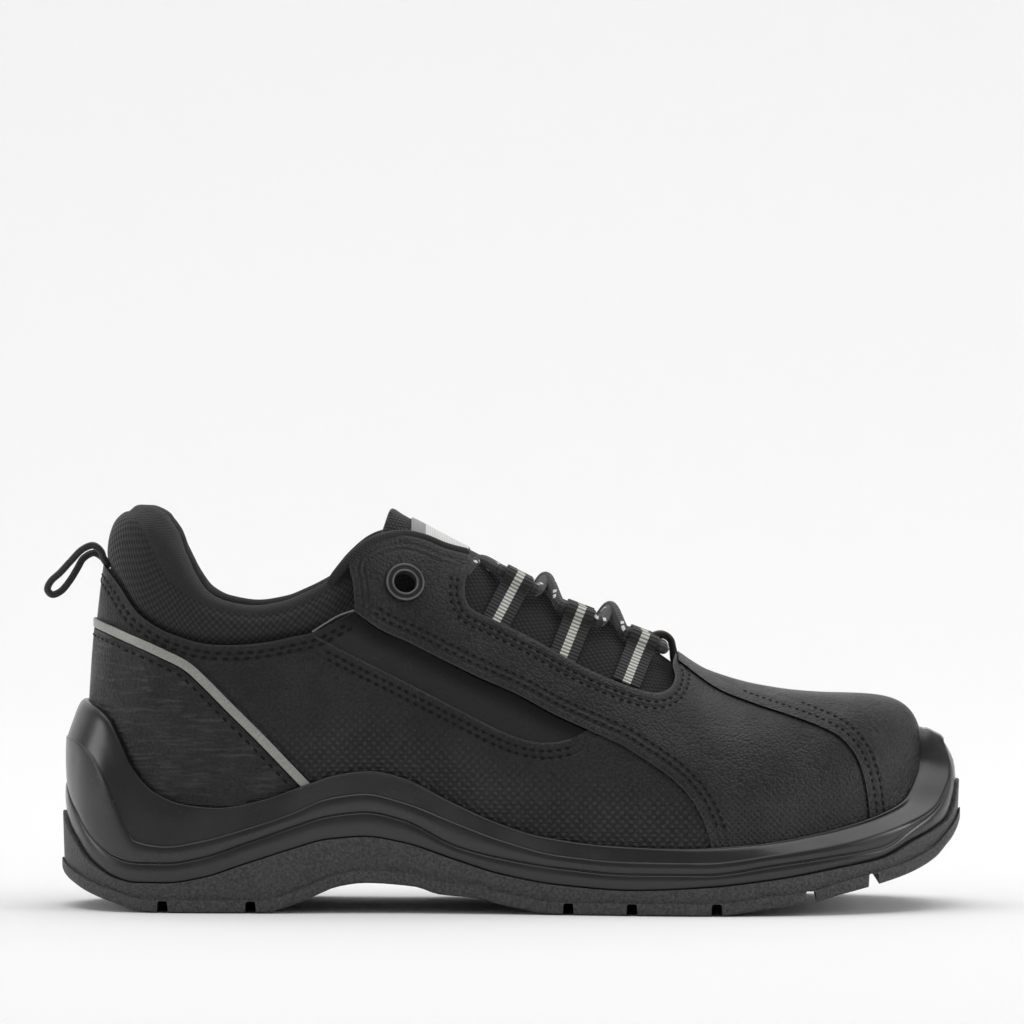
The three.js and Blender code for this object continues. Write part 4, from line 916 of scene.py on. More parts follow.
def make_eyelet(name, side):
    """Pressed ring: a dark flange between two bright beads, with a short barrel through the leather."""
    here, normal = skin_normal(EYELET_AT[0], EYELET_AT[1], side, 2 * LAYER)
    wall = EYELET_HOLE + EYELET_WALL
    profile = [[EYELET_HOLE, -3.1], [wall, -3.1], [wall, 0.25], [EYELET_FLANGE, 0.25], [EYELET_FLANGE, 0.7]]
    profile += [[EYELET_FLANGE - BEAD + BEAD * math.cos(a), 0.75 + 0.45 * math.sin(a)]
                for a in np.linspace(0.2, 2.9, 7)]
    profile += [[EYELET_FLANGE - 0.85, 0.72], [EYELET_FLANGE - 1.5, 0.78], [EYELET_HOLE + 1.1, 0.82],
                [EYELET_HOLE + 0.75, 0.8]]
    profile += [[EYELET_HOLE + BEAD + BEAD * math.cos(a), 0.85 + 0.4 * math.sin(a)]
                for a in np.linspace(0.3, 3.0, 7)]
    profile += [[EYELET_HOLE, 0.4], [EYELET_HOLE, -1.5]]
    lean = unit(np.cross(normal, [0, 0, 1.0]))
    lift = np.cross(lean, normal)
    angle = np.linspace(0, 2 * np.pi, 72, endpoint=False)
    grid = np.array([[here + normal * h + (lean * math.cos(a) + lift * math.sin(a)) * r for r, h in profile]
                     for a in angle])
    eyelet = add_grid(f"eyelet_ring_{name}", grid, wrap_rows=True, wrap_columns=True)
    points = on_shoe(eyelet) - here
    away = np.linalg.norm(points - (points @ normal)[:, None] * normal, axis=1)
    store(eyelet, "radius", away)
    eyelet.data.set_sharp_from_angle(angle=math.radians(50))
    return eyelet


BINDING_RISE, BINDING_SUNK = 0.3, 3.6
BINDING_ENDS = np.array([0.55, 0.85, 0.97])


def make_binding(name, side):
    """Rolled knit on the eyestay's top edge, its rear end sunk into the collar and both ends rounded."""
    edge = np.vstack([[BINDING_REAR], EYESTAY_TOP[1:]])
    points = []
    for i, (x, z) in enumerate(edge):
        along = unit(edge[min(i + 1, len(edge) - 1)] - edge[max(i - 1, 0)])
        out = -BINDING_SUNK if i == 0 else 0.0
        points.append(last_seen(x - along[1] * BINDING_RISE, z + along[0] * BINDING_RISE, side, out))
    path = smooth_path(np.array(points), 0.6)
    swell = BINDING_DIAMETER / 2 * np.ones(len(path))
    swell[:3] *= BINDING_ENDS
    swell[-3:] *= BINDING_ENDS[::-1]
    profile = circle(1.0, 18)[None] * swell[:, None, None]
    grid, uv = sweep(path, profile)
    return add_grid(f"rolled_binding_{name}", grid, uv, wrap_columns=True, caps=True)


EYE_RADIUS = LACE_DIAMETER / 2 + GAP + 0.15


def loop_frame(row, side):
    """Where a webbing loop stands: its foot, its eye and its three directions."""
    place_x, place_z, eye_x, eye_z = row * np.tile(SIDE_SHARE, 2)
    foot = last_seen(place_x, place_z, side, -WALL - 2 * GAP - WEBBING_THICKNESS / 2)
    eye, normal = skin_normal(eye_x, eye_z, side, TONGUE_OUT)
    eye = eye + normal * (EYE_RADIUS + WEBBING_THICKNESS + GAP)
    length = np.linalg.norm(eye - foot)
    up = (eye - foot) / length
    ahead = last_seen(place_x + 4, place_z - 1.9, side, TONGUE_OUT)
    along = ahead - last_seen(place_x - 4, place_z + 1.9, side, TONGUE_OUT)
    along = unit(along - up * np.dot(along, up)) * side
    return foot, eye, up, np.cross(along, up), along, length


# How far a loop's foot is sunk, where its two faces part below the eye, and the angle at which they meet
LOOP_SUNK, LOOP_NECK, LOOP_MEET = 1.6, 1.4, 0.32
FRAMES = {name: [loop_frame(row, side) for row in LOOPS] for name, side in SIDES.items()}


def make_loop(name, number, frame_of_loop):
    """Webbing folded over the lace: up on one face, round the eye and back down on the other."""
    foot, eye, up, outside, along, length = frame_of_loop
    thin = WEBBING_THICKNESS / 2 - 0.05
    radius = EYE_RADIUS + WEBBING_THICKNESS / 2
    stops = (-LOOP_SUNK, length * 0.3, length - radius - LOOP_NECK)
    rising = [[at, -thin / 2] for at in stops]
    angles = np.linspace(LOOP_MEET, 2 * np.pi - LOOP_MEET, 17)
    turned = [[length - radius * math.cos(a), -radius * math.sin(a)] for a in angles]
    back = [[at, thin / 2] for at in stops[::-1]]
    flat = smooth_path(np.array(rising + turned + back), 0.35)
    path = foot + flat[:, :1] * up + flat[:, 1:] * outside
    tangent = unit(np.gradient(path, axis=0))
    normals = np.cross(tangent, along)
    grid, uv = sweep(path, flat_band(WEBBING_WIDTH, thin, 12, 0.3), normals)
    loop = add_grid(f"webbing_loop_{name}_{number}", grid, uv, wrap_columns=True, caps=True)
    store(loop, "across", np.abs((on_shoe(loop) - foot) @ along))
    return loop


LACE_FRONT = ridge_point(LACE_FRONT_AT[0], 0.0)
LACE_FRONT[2] = LACE_FRONT_AT[1]
# Where the two runs cross on the ridge, and how far apart they lie there
CROSSINGS = SOLE_LENGTH * np.array([0.611, 0.539])
CROSSING_RISE, CROSSING_LIFT = 1.2, 0.6
LACE_TUCK, LACE_END = SIDE_SHARE * [0.465, 0.852], SIDE_SHARE * [0.447, 0.822]


def lace_route(side, lift):
    """One run: from the keeper through a loop, over the tongue to the other side and back, to its eyestay."""
    near, away = (FRAMES["lateral"], FRAMES["medial"]) if side < 0 else (FRAMES["medial"], FRAMES["lateral"])

    def through(loop):
        _, eye, _, _, along, _ = loop
        forward = along * np.sign(along[0])
        return [eye + forward * (np.sign(past) * WEBBING_WIDTH / 2 + past) for past in (2, 0.3, -0.3, -2)]

    def crossing(x, rise):
        return ridge_point(x, TONGUE_OUT) + [0, 0, LACE_DIAMETER / 2 + rise]

    under = -WALL - GAP - 0.2 - LACE_DIAMETER / 2
    tuck = last_seen(*LACE_TUCK, side, under + 0.4)
    end = last_seen(*LACE_END, side, under - 0.3)
    points = [LACE_FRONT, *through(near[2]), crossing(CROSSINGS[0], CROSSING_RISE + lift), *through(away[1]),
              crossing(CROSSINGS[1], CROSSING_RISE - lift), *through(near[0]), tuck, end]
    return smooth_path(np.array(points), 0.5)


def make_lace():
    """Round braided lace in two runs that cross over the tongue."""
    runs = [add_tube("lace_run", lace_route(side, -side * CROSSING_LIFT), LACE_DIAMETER, 20)
            for side in SIDES.values()]
    lace = runs[0]
    lace.name = "braided_lace"
    with bpy.context.temp_override(active_object=lace, object=lace, selected_objects=runs,
                                   selected_editable_objects=runs):
        bpy.ops.object.join()
    return lace


def make_keeper():
    """Leather strap from the tongue over the lace and down under the vamp, bent round the instep."""
    x, y, z = LACE_FRONT
    around = LACE_DIAMETER / 2 + GAP
    reach = around + KEEPER_THICKNESS / 2
    heel_end = ridge_point(x - around - 1.5, TONGUE_OUT)
    tucked = ridge_point(x + 5.5, -WALL - GAP - 0.7)
    route = np.array([
        [heel_end[0] - 1, heel_end[2] + GAP + 0.6 + KEEPER_THICKNESS / 2],
        [x - reach - 0.4, z],
        [x - reach * 0.72, z + reach * 0.75],
        [x, z + reach + 0.1],
        [x + reach * 0.8, z + reach * 0.6],
        [x + reach + 0.1, z - 1.2],
        [x + reach + 0.9, tucked[2] + 0.5],
        [tucked[0] + 1.0, tucked[2] - 0.6],
    ])
    flat = smooth_path(route, 0.4)
    path = np.stack([flat[:, 0], np.full(len(flat), y), flat[:, 1]], -1)
    tangent = unit(np.gradient(path, axis=0))
    normals = np.cross(tangent, [0.0, 1.0, 0.0]) * -1
    widths = KEEPER_WIDTH - KEEPER_WAIST * np.sin(np.linspace(0, np.pi, len(path))) ** 2
    profile = np.array([flat_band(w, KEEPER_THICKNESS, 8, 0.5) for w in widths])
    grid, uv = sweep(path, profile, normals)
    grid = grid - normals[:, None, :] * KEEPER_BEND * (grid[..., 1:2] - y) ** 2
    return add_grid("keeper_strap", grid, uv, wrap_columns=True, caps=True)


def make_raw_edge(name, side):
    """Light cut edge of the lining cloth, which shows where quarter, collar and eyestay meet."""
    line = smooth_path(RAW_EDGE, 0.5)
    path = last_seen(line[:, 0], line[:, 1], side, 2 * LAYER)
    return add_tube(f"raw_edge_{name}", path, RAW_EDGE_DIAMETER, 8)


def offset_line(line, away, spacing):
    """A line moved sideways as seen from the side, in even steps."""
    tangent = unit(np.gradient(line, axis=0))
    moved = line + np.stack([-tangent[:, 1], tangent[:, 0]], -1) * away
    return evenly(moved, spacing)


# Rows of sewing: the edge they follow, distances from it, stitch pitch, layers under them, and where
# along the edge they start and end
SEWING = [
    ("collar", (-2.6, -4.5), 3.6, 1, 0.0, 0.97),
    ("throat", (-2.7, -4.8), 2.9, 2, 0.06, 0.97),
    ("overlay", (3.6, 5.8), 2.9, 2, 0.03, 0.87),
    ("recess_bottom", (2.7, 4.9), 2.9, 1, 0.0, 0.93),
    ("toe", (2.4, 4.9), 2.5, 3, 0.03, 0.8),
    ("strip", (-4.0,), 3.6, 2, 0.03, 0.92),
]


# A stitch has this share of its row's pitch on each side of its middle, and these half sizes across and out
STITCH_SHARE, STITCH_ACROSS, STITCH_OUT, STITCH_SUNK = 0.3, 0.5, 0.4, 0.12
STITCH_RINGS, STITCH_SIDES = 9, 8
BELOW_RIDGE = 0.4


def stitch_shape():
    """One stitch, a short thread that dips into its holes at both ends: its points and its faces."""
    rings = []
    for s in np.linspace(-1, 1, STITCH_RINGS):
        radius = math.sqrt(max(1 - abs(s) ** 3.2, 0.02))
        rings.append([[s, *point] for point in circle(radius, STITCH_SIDES)])
    n, last = STITCH_SIDES, (STITCH_RINGS - 1) * STITCH_SIDES
    faces = [(r + c, r + (c + 1) % n, r + n + (c + 1) % n, r + n + c)
             for r in range(0, last, n) for c in range(n)]
    return np.array(rings), faces + [tuple(range(n - 1, -1, -1)), tuple(range(last, last + n))]


def make_stitching():
    """Every row of stitches on both sides, even along the leather and clear of the ridge."""
    stitch, quads = stitch_shape()
    verts, faces = [], []
    for name, rows, pitch, layers, start, stop in SEWING:
        for away in rows:
            line = offset_line(SMOOTH[name], away, 0.25)
            line = line[int(len(line) * start):int(len(line) * stop)]
            line = line[line[:, 1] < ridge_point(line[:, 0], 0.0)[:, 2] - BELOW_RIDGE]
            for side in SIDES.values():
                here, normal = skin_normal(line[:, 0], line[:, 1], side, layers * LAYER - STITCH_SUNK)
                along = unit(np.gradient(here, axis=0))
                across = np.cross(along, normal)
                run = run_length(here)
                pick = np.searchsorted(run, np.arange(pitch / 2, run[-1], pitch))
                for point, t, b, n in zip(here[pick], along[pick], across[pick], normal[pick]):
                    base = len(verts) * STITCH_RINGS * STITCH_SIDES
                    axes = np.array([STITCH_SHARE * pitch * t, STITCH_ACROSS * b, STITCH_OUT * n])
                    verts.append((point + stitch @ axes).reshape(-1, 3))
                    faces += [tuple(base + k for k in quad) for quad in quads]
    return add_object("stitching", np.vstack(verts), faces)


# Materials. Patterns are drawn in millimetres, and heights are in millimetres too.

def linear(code):
    """An sRGB hex colour in linear light."""
    parts = [int(code[i:i + 2], 16) / 255 for i in (1, 3, 5)]
    return [p / 12.92 if p <= 0.04045 else ((p + 0.055) / 1.055) ** 2.4 for p in parts] + [1.0]


def add_node(tree, kind, inputs=(), pick=0, **settings):
    """Adds a node with its settings, feeds its inputs with values or links, and gives back one output."""
    node = tree.nodes.new("ShaderNode" + kind)
    for name, value in settings.items():
        setattr(node, name, value)
    for name, value in inputs.items() if isinstance(inputs, dict) else enumerate(inputs):
        if isinstance(value, bpy.types.NodeSocket):
            tree.links.new(value, node.inputs[name])
        else:
            node.inputs[name].default_value = value
    return node.outputs[pick] if len(node.outputs) else node


def start_material(name, **finish):
    """A material with one shader: gives back the material, its node adder and the place in millimetres."""
    material = bpy.data.materials.new(name)
    material.use_nodes = True
    material.node_tree.nodes.clear()
    node = partial(add_node, material.node_tree)
    shader = node("BsdfPrincipled", {key.replace("_", " "): value for key, value in finish.items()})
    node("OutputMaterial", {"Surface": shader})
    mm = node("VectorMath", {0: node("TexCoord", pick="Object"), "Scale": 1000.0}, operation="SCALE")
    return material, node, mm


def finish_material(material, height, **looks):
    """Links colour and roughness, and raises the surface by the height."""
    tree = material.node_tree
    shader = next(n for n in tree.nodes if n.type == "BSDF_PRINCIPLED")
    looks["Normal"] = add_node(tree, "Bump", {"Strength": 1.0, "Distance": 0.001, "Height": height})
    for name, output in looks.items():
        tree.links.new(output, shader.inputs[name.replace("_", " ")])
    return material


def add_leather(name, dark, light, grain, depth, rough, seams, emboss=None):
    """Corrected-grain cowhide, embossed and sprayed semi-matt: small round cells, a press mark along each
    sewn row darkened as painted shade, and a painted highlight that lightens each edge."""
    material, node, mm = start_material(name, Roughness=rough, Specular_IOR_Level=0.35)
    cells = node("TexVoronoi", {"Vector": mm, "Scale": 1 / grain, "Smoothness": 0.35}, feature="SMOOTH_F1")
    fine = node("TexNoise", {"Vector": mm, "Scale": 2.2, "Detail": 2.0})
    broad = node("TexNoise", {"Vector": mm, "Scale": 1 / 17, "Detail": 3.0})
    height = node("Math", (cells, -depth, node("Math", (fine, depth * 0.6), operation="MULTIPLY")),
                  operation="MULTIPLY_ADD")
    height = node("Math", (broad, 0.9, height), operation="MULTIPLY_ADD")
    pressed, painted_edge_highlight = 0.0, 0.0
    for attribute, rows in seams:
        away = node("Attribute", pick="Fac", attribute_name=attribute)
        for row in rows:
            off = node("Math", (node("Math", (away, row), operation="SUBTRACT"),), operation="ABSOLUTE")
            mark = node("MapRange", (off, 0.2, 0.9, 1.0, 0.0), interpolation_type="SMOOTHSTEP")
            pressed = node("Math", (mark, pressed), operation="MAXIMUM")
        edge = node("MapRange", (away, 0.0, 0.9, 1.0, 0.0), interpolation_type="SMOOTHSTEP")
        painted_edge_highlight = node("Math", (edge, painted_edge_highlight), operation="MAXIMUM")
    height = node("Math", (pressed, -0.2, height), operation="MULTIPLY_ADD")
    height = node("Math", (painted_edge_highlight, -0.25, height), operation="MULTIPLY_ADD")
    tone = node("Math", (cells, 0.6, broad), operation="MULTIPLY_ADD")
    tone = node("MapRange", (tone, 0.5, 1.05, 1.0, 0.0))
    colour = node("Mix", {0: tone, 6: linear(dark), 7: linear(light)}, pick=2, data_type="RGBA")
    if emboss:
        height, lit = emboss(node, mm, height)
        # Painted light: the emboss's lit share lightens raised crests as a painted highlight, and on the sunk
        # panel leaves painted shade along the overlay's edge.
        colour = node("Mix", {0: lit, 6: colour, 7: linear("#474747")}, pick=2, data_type="RGBA")
    # Each sewn row's press mark is darkened towards black: painted shade in the groove.
    share = node("Math", (pressed, 0.6), operation="MULTIPLY")
    colour = node("Mix", {0: share, 6: colour, 7: linear("#0a0a0a")}, pick=2, data_type="RGBA")
    # Within 0.9 mm of each edge the leather is painted lighter: a painted highlight on the edge.
    share = node("Math", (painted_edge_highlight, 0.35), operation="MULTIPLY")
    colour = node("Mix", {0: share, 6: colour, 7: linear("#4c4c4c")}, pick=2, data_type="RGBA")
    roughness = node("MapRange", (broad, 0.35, 0.65, rough - 0.05, rough + 0.07))
    return finish_material(material, height, Base_Color=colour, Roughness=roughness)


def pressed_dots(node, mm, height):
    """Dots pressed into the quarter 3 mm apart, fading out above the sole."""
    wave = node("VectorMath", {0: mm, "Scale": 2 * math.pi / 3}, operation="SCALE")
    wave = node("SeparateXYZ", (node("VectorMath", (wave,), operation="SINE"),)).node.outputs
    dots = node("MapRange", (node("Math", (wave["X"], wave["Z"]), operation="MULTIPLY"), 0.1, 0.7, 0.0, 1.0))
    above = node("Attribute", pick="Fac", attribute_name="above_sole")
    low = node("MapRange", (above, 4.0, 28.0, 0.5, 0.0), interpolation_type="SMOOTHSTEP")
    raised = node("Math", (dots, low), operation="MULTIPLY")
    height = node("Math", (raised, 0.7, height), operation="MULTIPLY_ADD")
    # The raised dots are painted lighter too: a painted highlight.
    return height, node("Math", (raised, 0.7), operation="MULTIPLY")


def crossed_lines(node, mm, height):
    """Fine crossed lines in the grain near the sole, 1.5 mm apart."""
    turned = node("Mapping", {"Vector": mm, "Rotation": (0, math.pi / 4, 0)})
    wave = node("VectorMath", {0: turned, "Scale": 2 * math.pi / 1.5}, operation="SCALE")
    wave = node("SeparateXYZ", (node("VectorMath", (wave,), operation="SINE"),)).node.outputs
    both = node("MapRange", (node("Math", (wave["X"], wave["Z"]), operation="MAXIMUM"), 0.3, 1.0, 0.0, 1.0))
    above = node("Attribute", pick="Fac", attribute_name="above_sole")
    low = node("MapRange", (above, 3.0, 24.0, 0.3, 0.0), interpolation_type="SMOOTHSTEP")
    raised = node("Math", (both, low), operation="MULTIPLY")
    # The raised lines are painted lighter too: a painted highlight.
    return node("Math", (raised, 0.7, height), operation="MULTIPLY_ADD"), raised


def level_wrinkles(node, mm, height):
    """Long level wrinkles in the counter's grain, about 1 mm apart."""
    drawn = node("VectorMath", (mm, (0.14, 0.14, 1.0)), operation="MULTIPLY")
    wrinkles = node("TexNoise", {"Vector": drawn, "Scale": 0.9, "Detail": 2.0})
    # The wrinkle crests are painted lighter: a painted highlight.
    lit = node("MapRange", (wrinkles, 0.52, 0.72, 0.0, 0.5))
    return node("Math", (wrinkles, 0.9, height), operation="MULTIPLY_ADD"), lit


def painted_overlay_shadow(node, mm, height):
    """Painted shadow under the overlay's edge: the panel is kept black along the edge and painted lighter
    away from it.
    """
    away = node("Attribute", pick="Fac", attribute_name="from_overlay")
    return height, node("MapRange", (away, 1.5, 8.0, 0.0, 0.3), interpolation_type="SMOOTHSTEP")


def add_mesh_cloth(name, dark, light, pitch, depth, finer=None):
    """Knitted polyester mesh: open cells in rows, with brighter loops between them. The part beyond the
    finer line is a close knit."""
    material, node, mm = start_material(name, Roughness=0.85, Sheen_Weight=0.15, Sheen_Roughness=0.4)

    def cells(size):
        cloth = node("UVMap", uv_map="cloth")
        wave = node("VectorMath", {0: cloth, "Scale": 2 * math.pi / size}, operation="SCALE")
        wave = node("SeparateXYZ", (node("VectorMath", (wave,), operation="SINE"),)).node.outputs
        return node("Math", (node("Math", (wave["X"], wave["Y"]), operation="MULTIPLY"), 0.5, 0.5),
                    operation="MULTIPLY_ADD")

    knit = cells(pitch)
    if finer:
        attribute, size = finer
        away = node("Attribute", pick="Fac", attribute_name=attribute)
        share = node("MapRange", (away, -0.4, 0.4, 0.0, 1.0))
        knit = node("Mix", {0: share, 2: knit, 3: cells(size)}, data_type="FLOAT")
    fuzz = node("TexNoise", {"Vector": mm, "Scale": 2.0, "Detail": 2.0})
    height = node("Math", (fuzz, 0.05), operation="MULTIPLY")
    height = node("Math", (knit, depth, height), operation="MULTIPLY_ADD")
    loops = node("MapRange", (knit, 0.35, 0.9, 0.0, 0.85))
    shade = node("Math", (fuzz, 0.3, loops), operation="MULTIPLY_ADD")
    colour = node("Mix", {0: shade, 6: linear(dark), 7: linear(light)}, pick=2, data_type="RGBA")
    return finish_material(material, height, Base_Color=colour)


def add_moulded(name, dark, light, rough, patch, grain, depth, **finish):
    """Moulded skin with faint flow marks and the mould's grain."""
    material, node, mm = start_material(name, Roughness=rough, **finish)
    flow = node("TexNoise", {"Vector": mm, "Scale": 1 / patch, "Detail": 3.0})
    share = node("MapRange", (flow, 0.35, 0.68, 0.0, 1.0))
    colour = node("Mix", {0: share, 6: linear(dark), 7: linear(light)}, pick=2, data_type="RGBA")
    roughness = node("MapRange", (flow, 0.3, 0.7, rough - 0.05, rough + 0.06))
    skin = node("Math", (node("TexNoise", {"Vector": mm, "Scale": 1 / grain, "Detail": 2.0}), depth),
                operation="MULTIPLY")
    height = node("Math", (node("TexNoise", {"Vector": mm, "Scale": 0.07, "Detail": 1.0}), 0.5, skin),
                  operation="MULTIPLY_ADD")
    return finish_material(material, height, Base_Color=colour, Roughness=roughness)


def add_webbing():
    """Woven polyester webbing: ribs across the band, and a light stripe down its middle."""
    material, node, mm = start_material("polyester_webbing_woven", Roughness=0.8, Sheen_Weight=0.2)
    along = node("SeparateXYZ", (node("UVMap", uv_map="cloth"),))
    rib = node("Math", (node("Math", (along, 2 * math.pi / 1.35), operation="MULTIPLY"),), operation="SINE")
    across = node("Attribute", pick="Fac", attribute_name="across")
    stripe = node("MapRange", (across, 1.3, 1.5, 1.0, 0.0))
    share = node("MapRange", (rib, -0.9, 0.3, 0.0, 1.0))
    light = node("Mix", {0: share, 6: linear("#77776f"), 7: linear("#d2d2ca")}, pick=2, data_type="RGBA")
    share = node("MapRange", (rib, -0.8, 0.8, 0.0, 1.0))
    black = node("Mix", {0: share, 6: linear("#141414"), 7: linear("#272727")}, pick=2, data_type="RGBA")
    colour = node("Mix", {0: stripe, 6: black, 7: light}, pick=2, data_type="RGBA")
    return finish_material(material, node("Math", (rib, 0.12), operation="MULTIPLY"), Base_Color=colour)


def add_braid(name, diameter, dashes):
    """Braided polyester cord: strands that cross round it, with light threads that show in short dashes."""
    material, node, mm = start_material(name, Roughness=0.72, Sheen_Weight=0.25)
    girth = math.pi * diameter
    cloth = node("SeparateXYZ", (node("UVMap", uv_map="cloth"),)).node.outputs
    slow = node("Math", (cloth["X"], 2 * math.pi / 1.9), operation="MULTIPLY")
    strands = []
    for lay in (4, -4):
        turned = node("Math", (cloth["Y"], 2 * math.pi * lay / girth, slow), operation="MULTIPLY_ADD")
        strands.append(node("Math", (turned,), operation="SINE"))
    braid = node("Math", strands, operation="MULTIPLY")
    colour = node("Mix", {0: node("MapRange", (braid, -0.6, 0.8, 0.0, 1.0)), 6: linear("#131313"),
                          7: linear("#363636")}, pick=2, data_type="RGBA")
    if dashes:
        slant = node("Math", (cloth["X"], 1 / 18), operation="MULTIPLY")
        spiral = node("Math", (cloth["Y"], 2 / girth, slant), operation="MULTIPLY_ADD")
        shown = node("Math", (node("Math", (spiral,), operation="FRACT"), 0.2), operation="LESS_THAN")
        for pitch, share in ((2.3, 0.62), (9.2, 0.5)):
            step = node("Math", (cloth["X"], 1 / pitch), operation="MULTIPLY")
            step = node("Math", (step,), operation="FRACT")
            step = node("Math", (step, share), operation="LESS_THAN")
            shown = node("Math", (shown, step), operation="MULTIPLY")
        colour = node("Mix", {0: shown, 6: colour, 7: linear("#e2e2de")}, pick=2, data_type="RGBA")
    return finish_material(material, node("Math", (braid, 0.14), operation="MULTIPLY"), Base_Color=colour)


def add_label_cloth():
    """Damask-woven polyester label: tight satin threads, a grey band and a plain white field."""
    material, node, mm = start_material("polyester_label_damask", Roughness=0.6, Sheen_Weight=0.2)
    along = node("SeparateXYZ", (node("UVMap", uv_map="cloth"),))
    weave = node("Math", (node("Math", (along, 2 * math.pi / 0.8), operation="MULTIPLY"),), operation="SINE")
    colour = node("Mix", {0: node("MapRange", (along, 4.6, 4.9, 0.0, 1.0)), 6: linear("#8d8d8d"),
                          7: linear("#dededc")}, pick=2, data_type="RGBA")
    colour = node("Mix", {0: node("MapRange", (weave, -1.0, 1.0, 0.2, 0.0)), 6: colour, 7: linear("#5c5c5c")},
                  pick=2, data_type="RGBA")
    return finish_material(material, node("Math", (weave, 0.05), operation="MULTIPLY"), Base_Color=colour)


def add_eyelet_metal():
    """Pressed steel ring, stoved black, its two beads rubbed bright."""
    material, node, mm = start_material("steel_stoved_pressed", Roughness=0.4)
    radius = node("Attribute", pick="Fac", attribute_name="radius")
    bead = 0.0
    for middle, half in ((EYELET_HOLE + BEAD, 0.5), (EYELET_FLANGE - BEAD, 0.42)):
        off = node("Math", (node("Math", (radius, middle), operation="SUBTRACT"),), operation="ABSOLUTE")
        ring = node("MapRange", (off, half * 0.6, half, 1.0, 0.0))
        bead = node("Math", (ring, bead), operation="MAXIMUM")
    colour = node("Mix", {0: bead, 6: linear("#141415"), 7: linear("#6b6b6e")}, pick=2, data_type="RGBA")
    metal = node("Math", (bead, 0.8), operation="MULTIPLY")
    scratches = node("TexNoise", {"Vector": mm, "Scale": 1.5, "Detail": 3.0})
    height = node("Math", (scratches, 0.06), operation="MULTIPLY")
    return finish_material(material, height, Base_Color=colour, Metallic=metal)


def add_tape():
    """Reflective tape: glass beads under a clear film, silver grey and finely speckled."""
    material, node, mm = start_material("glass_bead_tape_laminated", Roughness=0.42, Metallic=0.2)
    speck = node("TexNoise", {"Vector": mm, "Scale": 2.5, "Detail": 2.0})
    colour = node("Mix", {0: node("MapRange", (speck, 0.3, 0.7, 0.0, 1.0)), 6: linear("#84847f"),
                          7: linear("#a6a6a1")}, pick=2, data_type="RGBA")
    return finish_material(material, node("Math", (speck, 0.04), operation="MULTIPLY"), Base_Color=colour)


def add_thread():
    """Bonded nylon thread: black, twisted, with a slight gloss."""
    material, node, mm = start_material("nylon_thread_twisted", Roughness=0.55, Specular_IOR_Level=0.2)
    twist = node("TexNoise", {"Vector": mm, "Scale": 2.5, "Detail": 2.0})
    colour = node("Mix", {0: twist, 6: linear("#040404"), 7: linear("#0c0c0c")}, pick=2, data_type="RGBA")
    return finish_material(material, node("Math", (twist, 0.08), operation="MULTIPLY"), Base_Color=colour)


# Studio

ELEVATION = math.radians(1.4)
DISTANCE = 2.6
VIEW_WIDTH = 0.3413
NEAR_SOLE_EDGE = -0.05
# Round area lights: name, place and diameter in metres, watts
LIGHTS = (
    ("overhead_light", (0.0, 0.3, 3.0), 4.0, 63.0),
    ("toe_light", (2.2, -0.5, 0.9), 1.2, 15.0),
    ("heel_light", (-2.2, -0.4, 0.8), 1.2, 10.0),
)


def aim(obj, position, target):
    look = Vector(target) - Vector(position)
    obj.location = position
    obj.rotation_euler = look.to_track_quat("-Z", "Y").to_euler()


def set_camera():
    """A long lens level with the outer side, a little above it, framed as the photograph is."""
    data = bpy.data.cameras.new("camera")
    camera = bpy.data.objects.new("camera", data)
    bpy.context.scene.collection.objects.link(camera)
    data.sensor_width = 36.0
    data.lens = data.sensor_width * DISTANCE / VIEW_WIDTH
    data.clip_end = 100.0
    middle = -0.028
    target = Vector((0.0003, middle, 0.1337 + (NEAR_SOLE_EDGE - middle) * math.sin(ELEVATION)))
    look = Vector((0, math.cos(ELEVATION), -math.sin(ELEVATION)))
    aim(camera, target - look * DISTANCE, target)
    bpy.context.scene.camera = camera


def set_studio():
    """A pale room: a dim even sky, a floor that turns up behind the shoe, one wide soft light overhead and
    small ones in front of the toe and the heel."""
    scene = bpy.context.scene
    scene.view_settings.view_transform = "Standard"
    world = bpy.data.worlds.new("studio")
    world.use_nodes = True
    world.node_tree.nodes["Background"].inputs["Color"].default_value = linear("#979797")
    scene.world = world
    rows = [[-3.0, 0.0], [1.2, 0.0]]
    rows += [[1.2 + 0.6 * math.sin(a), 0.6 - 0.6 * math.cos(a)] for a in np.linspace(0.1, math.pi / 2, 15)]
    rows += [[1.8, 4.0]]
    verts = [(x, y, z) for y, z in rows for x in (-4.0, 4.0)]
    mesh = bpy.data.meshes.new("studio_floor")
    mesh.from_pydata(verts, [], [(2 * i, 2 * i + 1, 2 * i + 3, 2 * i + 2) for i in range(len(rows) - 1)])
    floor = bpy.data.objects.new("studio_floor", mesh)
    scene.collection.objects.link(floor)
    mesh.shade_smooth()
    paper, node, mm = start_material("paper_backdrop_matt", Roughness=1.0, Specular_IOR_Level=0.0,
                                     Base_Color=linear("#fbfbfb"))
    output = next(n for n in paper.node_tree.nodes if n.type == "OUTPUT_MATERIAL").inputs["Surface"]
    front, behind = output.links[0].from_socket, node("NewGeometry", pick="Backfacing")
    one_sided = node("MixShader", {0: behind, 1: front, 2: node("BsdfTransparent")})
    paper.node_tree.links.new(one_sided, output)
    mesh.materials.append(paper)
    for name, position, size, power in LIGHTS:
        light = bpy.data.lights.new(name, "AREA")
        light.shape = "DISK"
        light.size = size
        light.energy = power
        lamp = bpy.data.objects.new(name, light)
        scene.collection.objects.link(lamp)
        aim(lamp, position, (0.0, 0.0, 0.06))


# Making

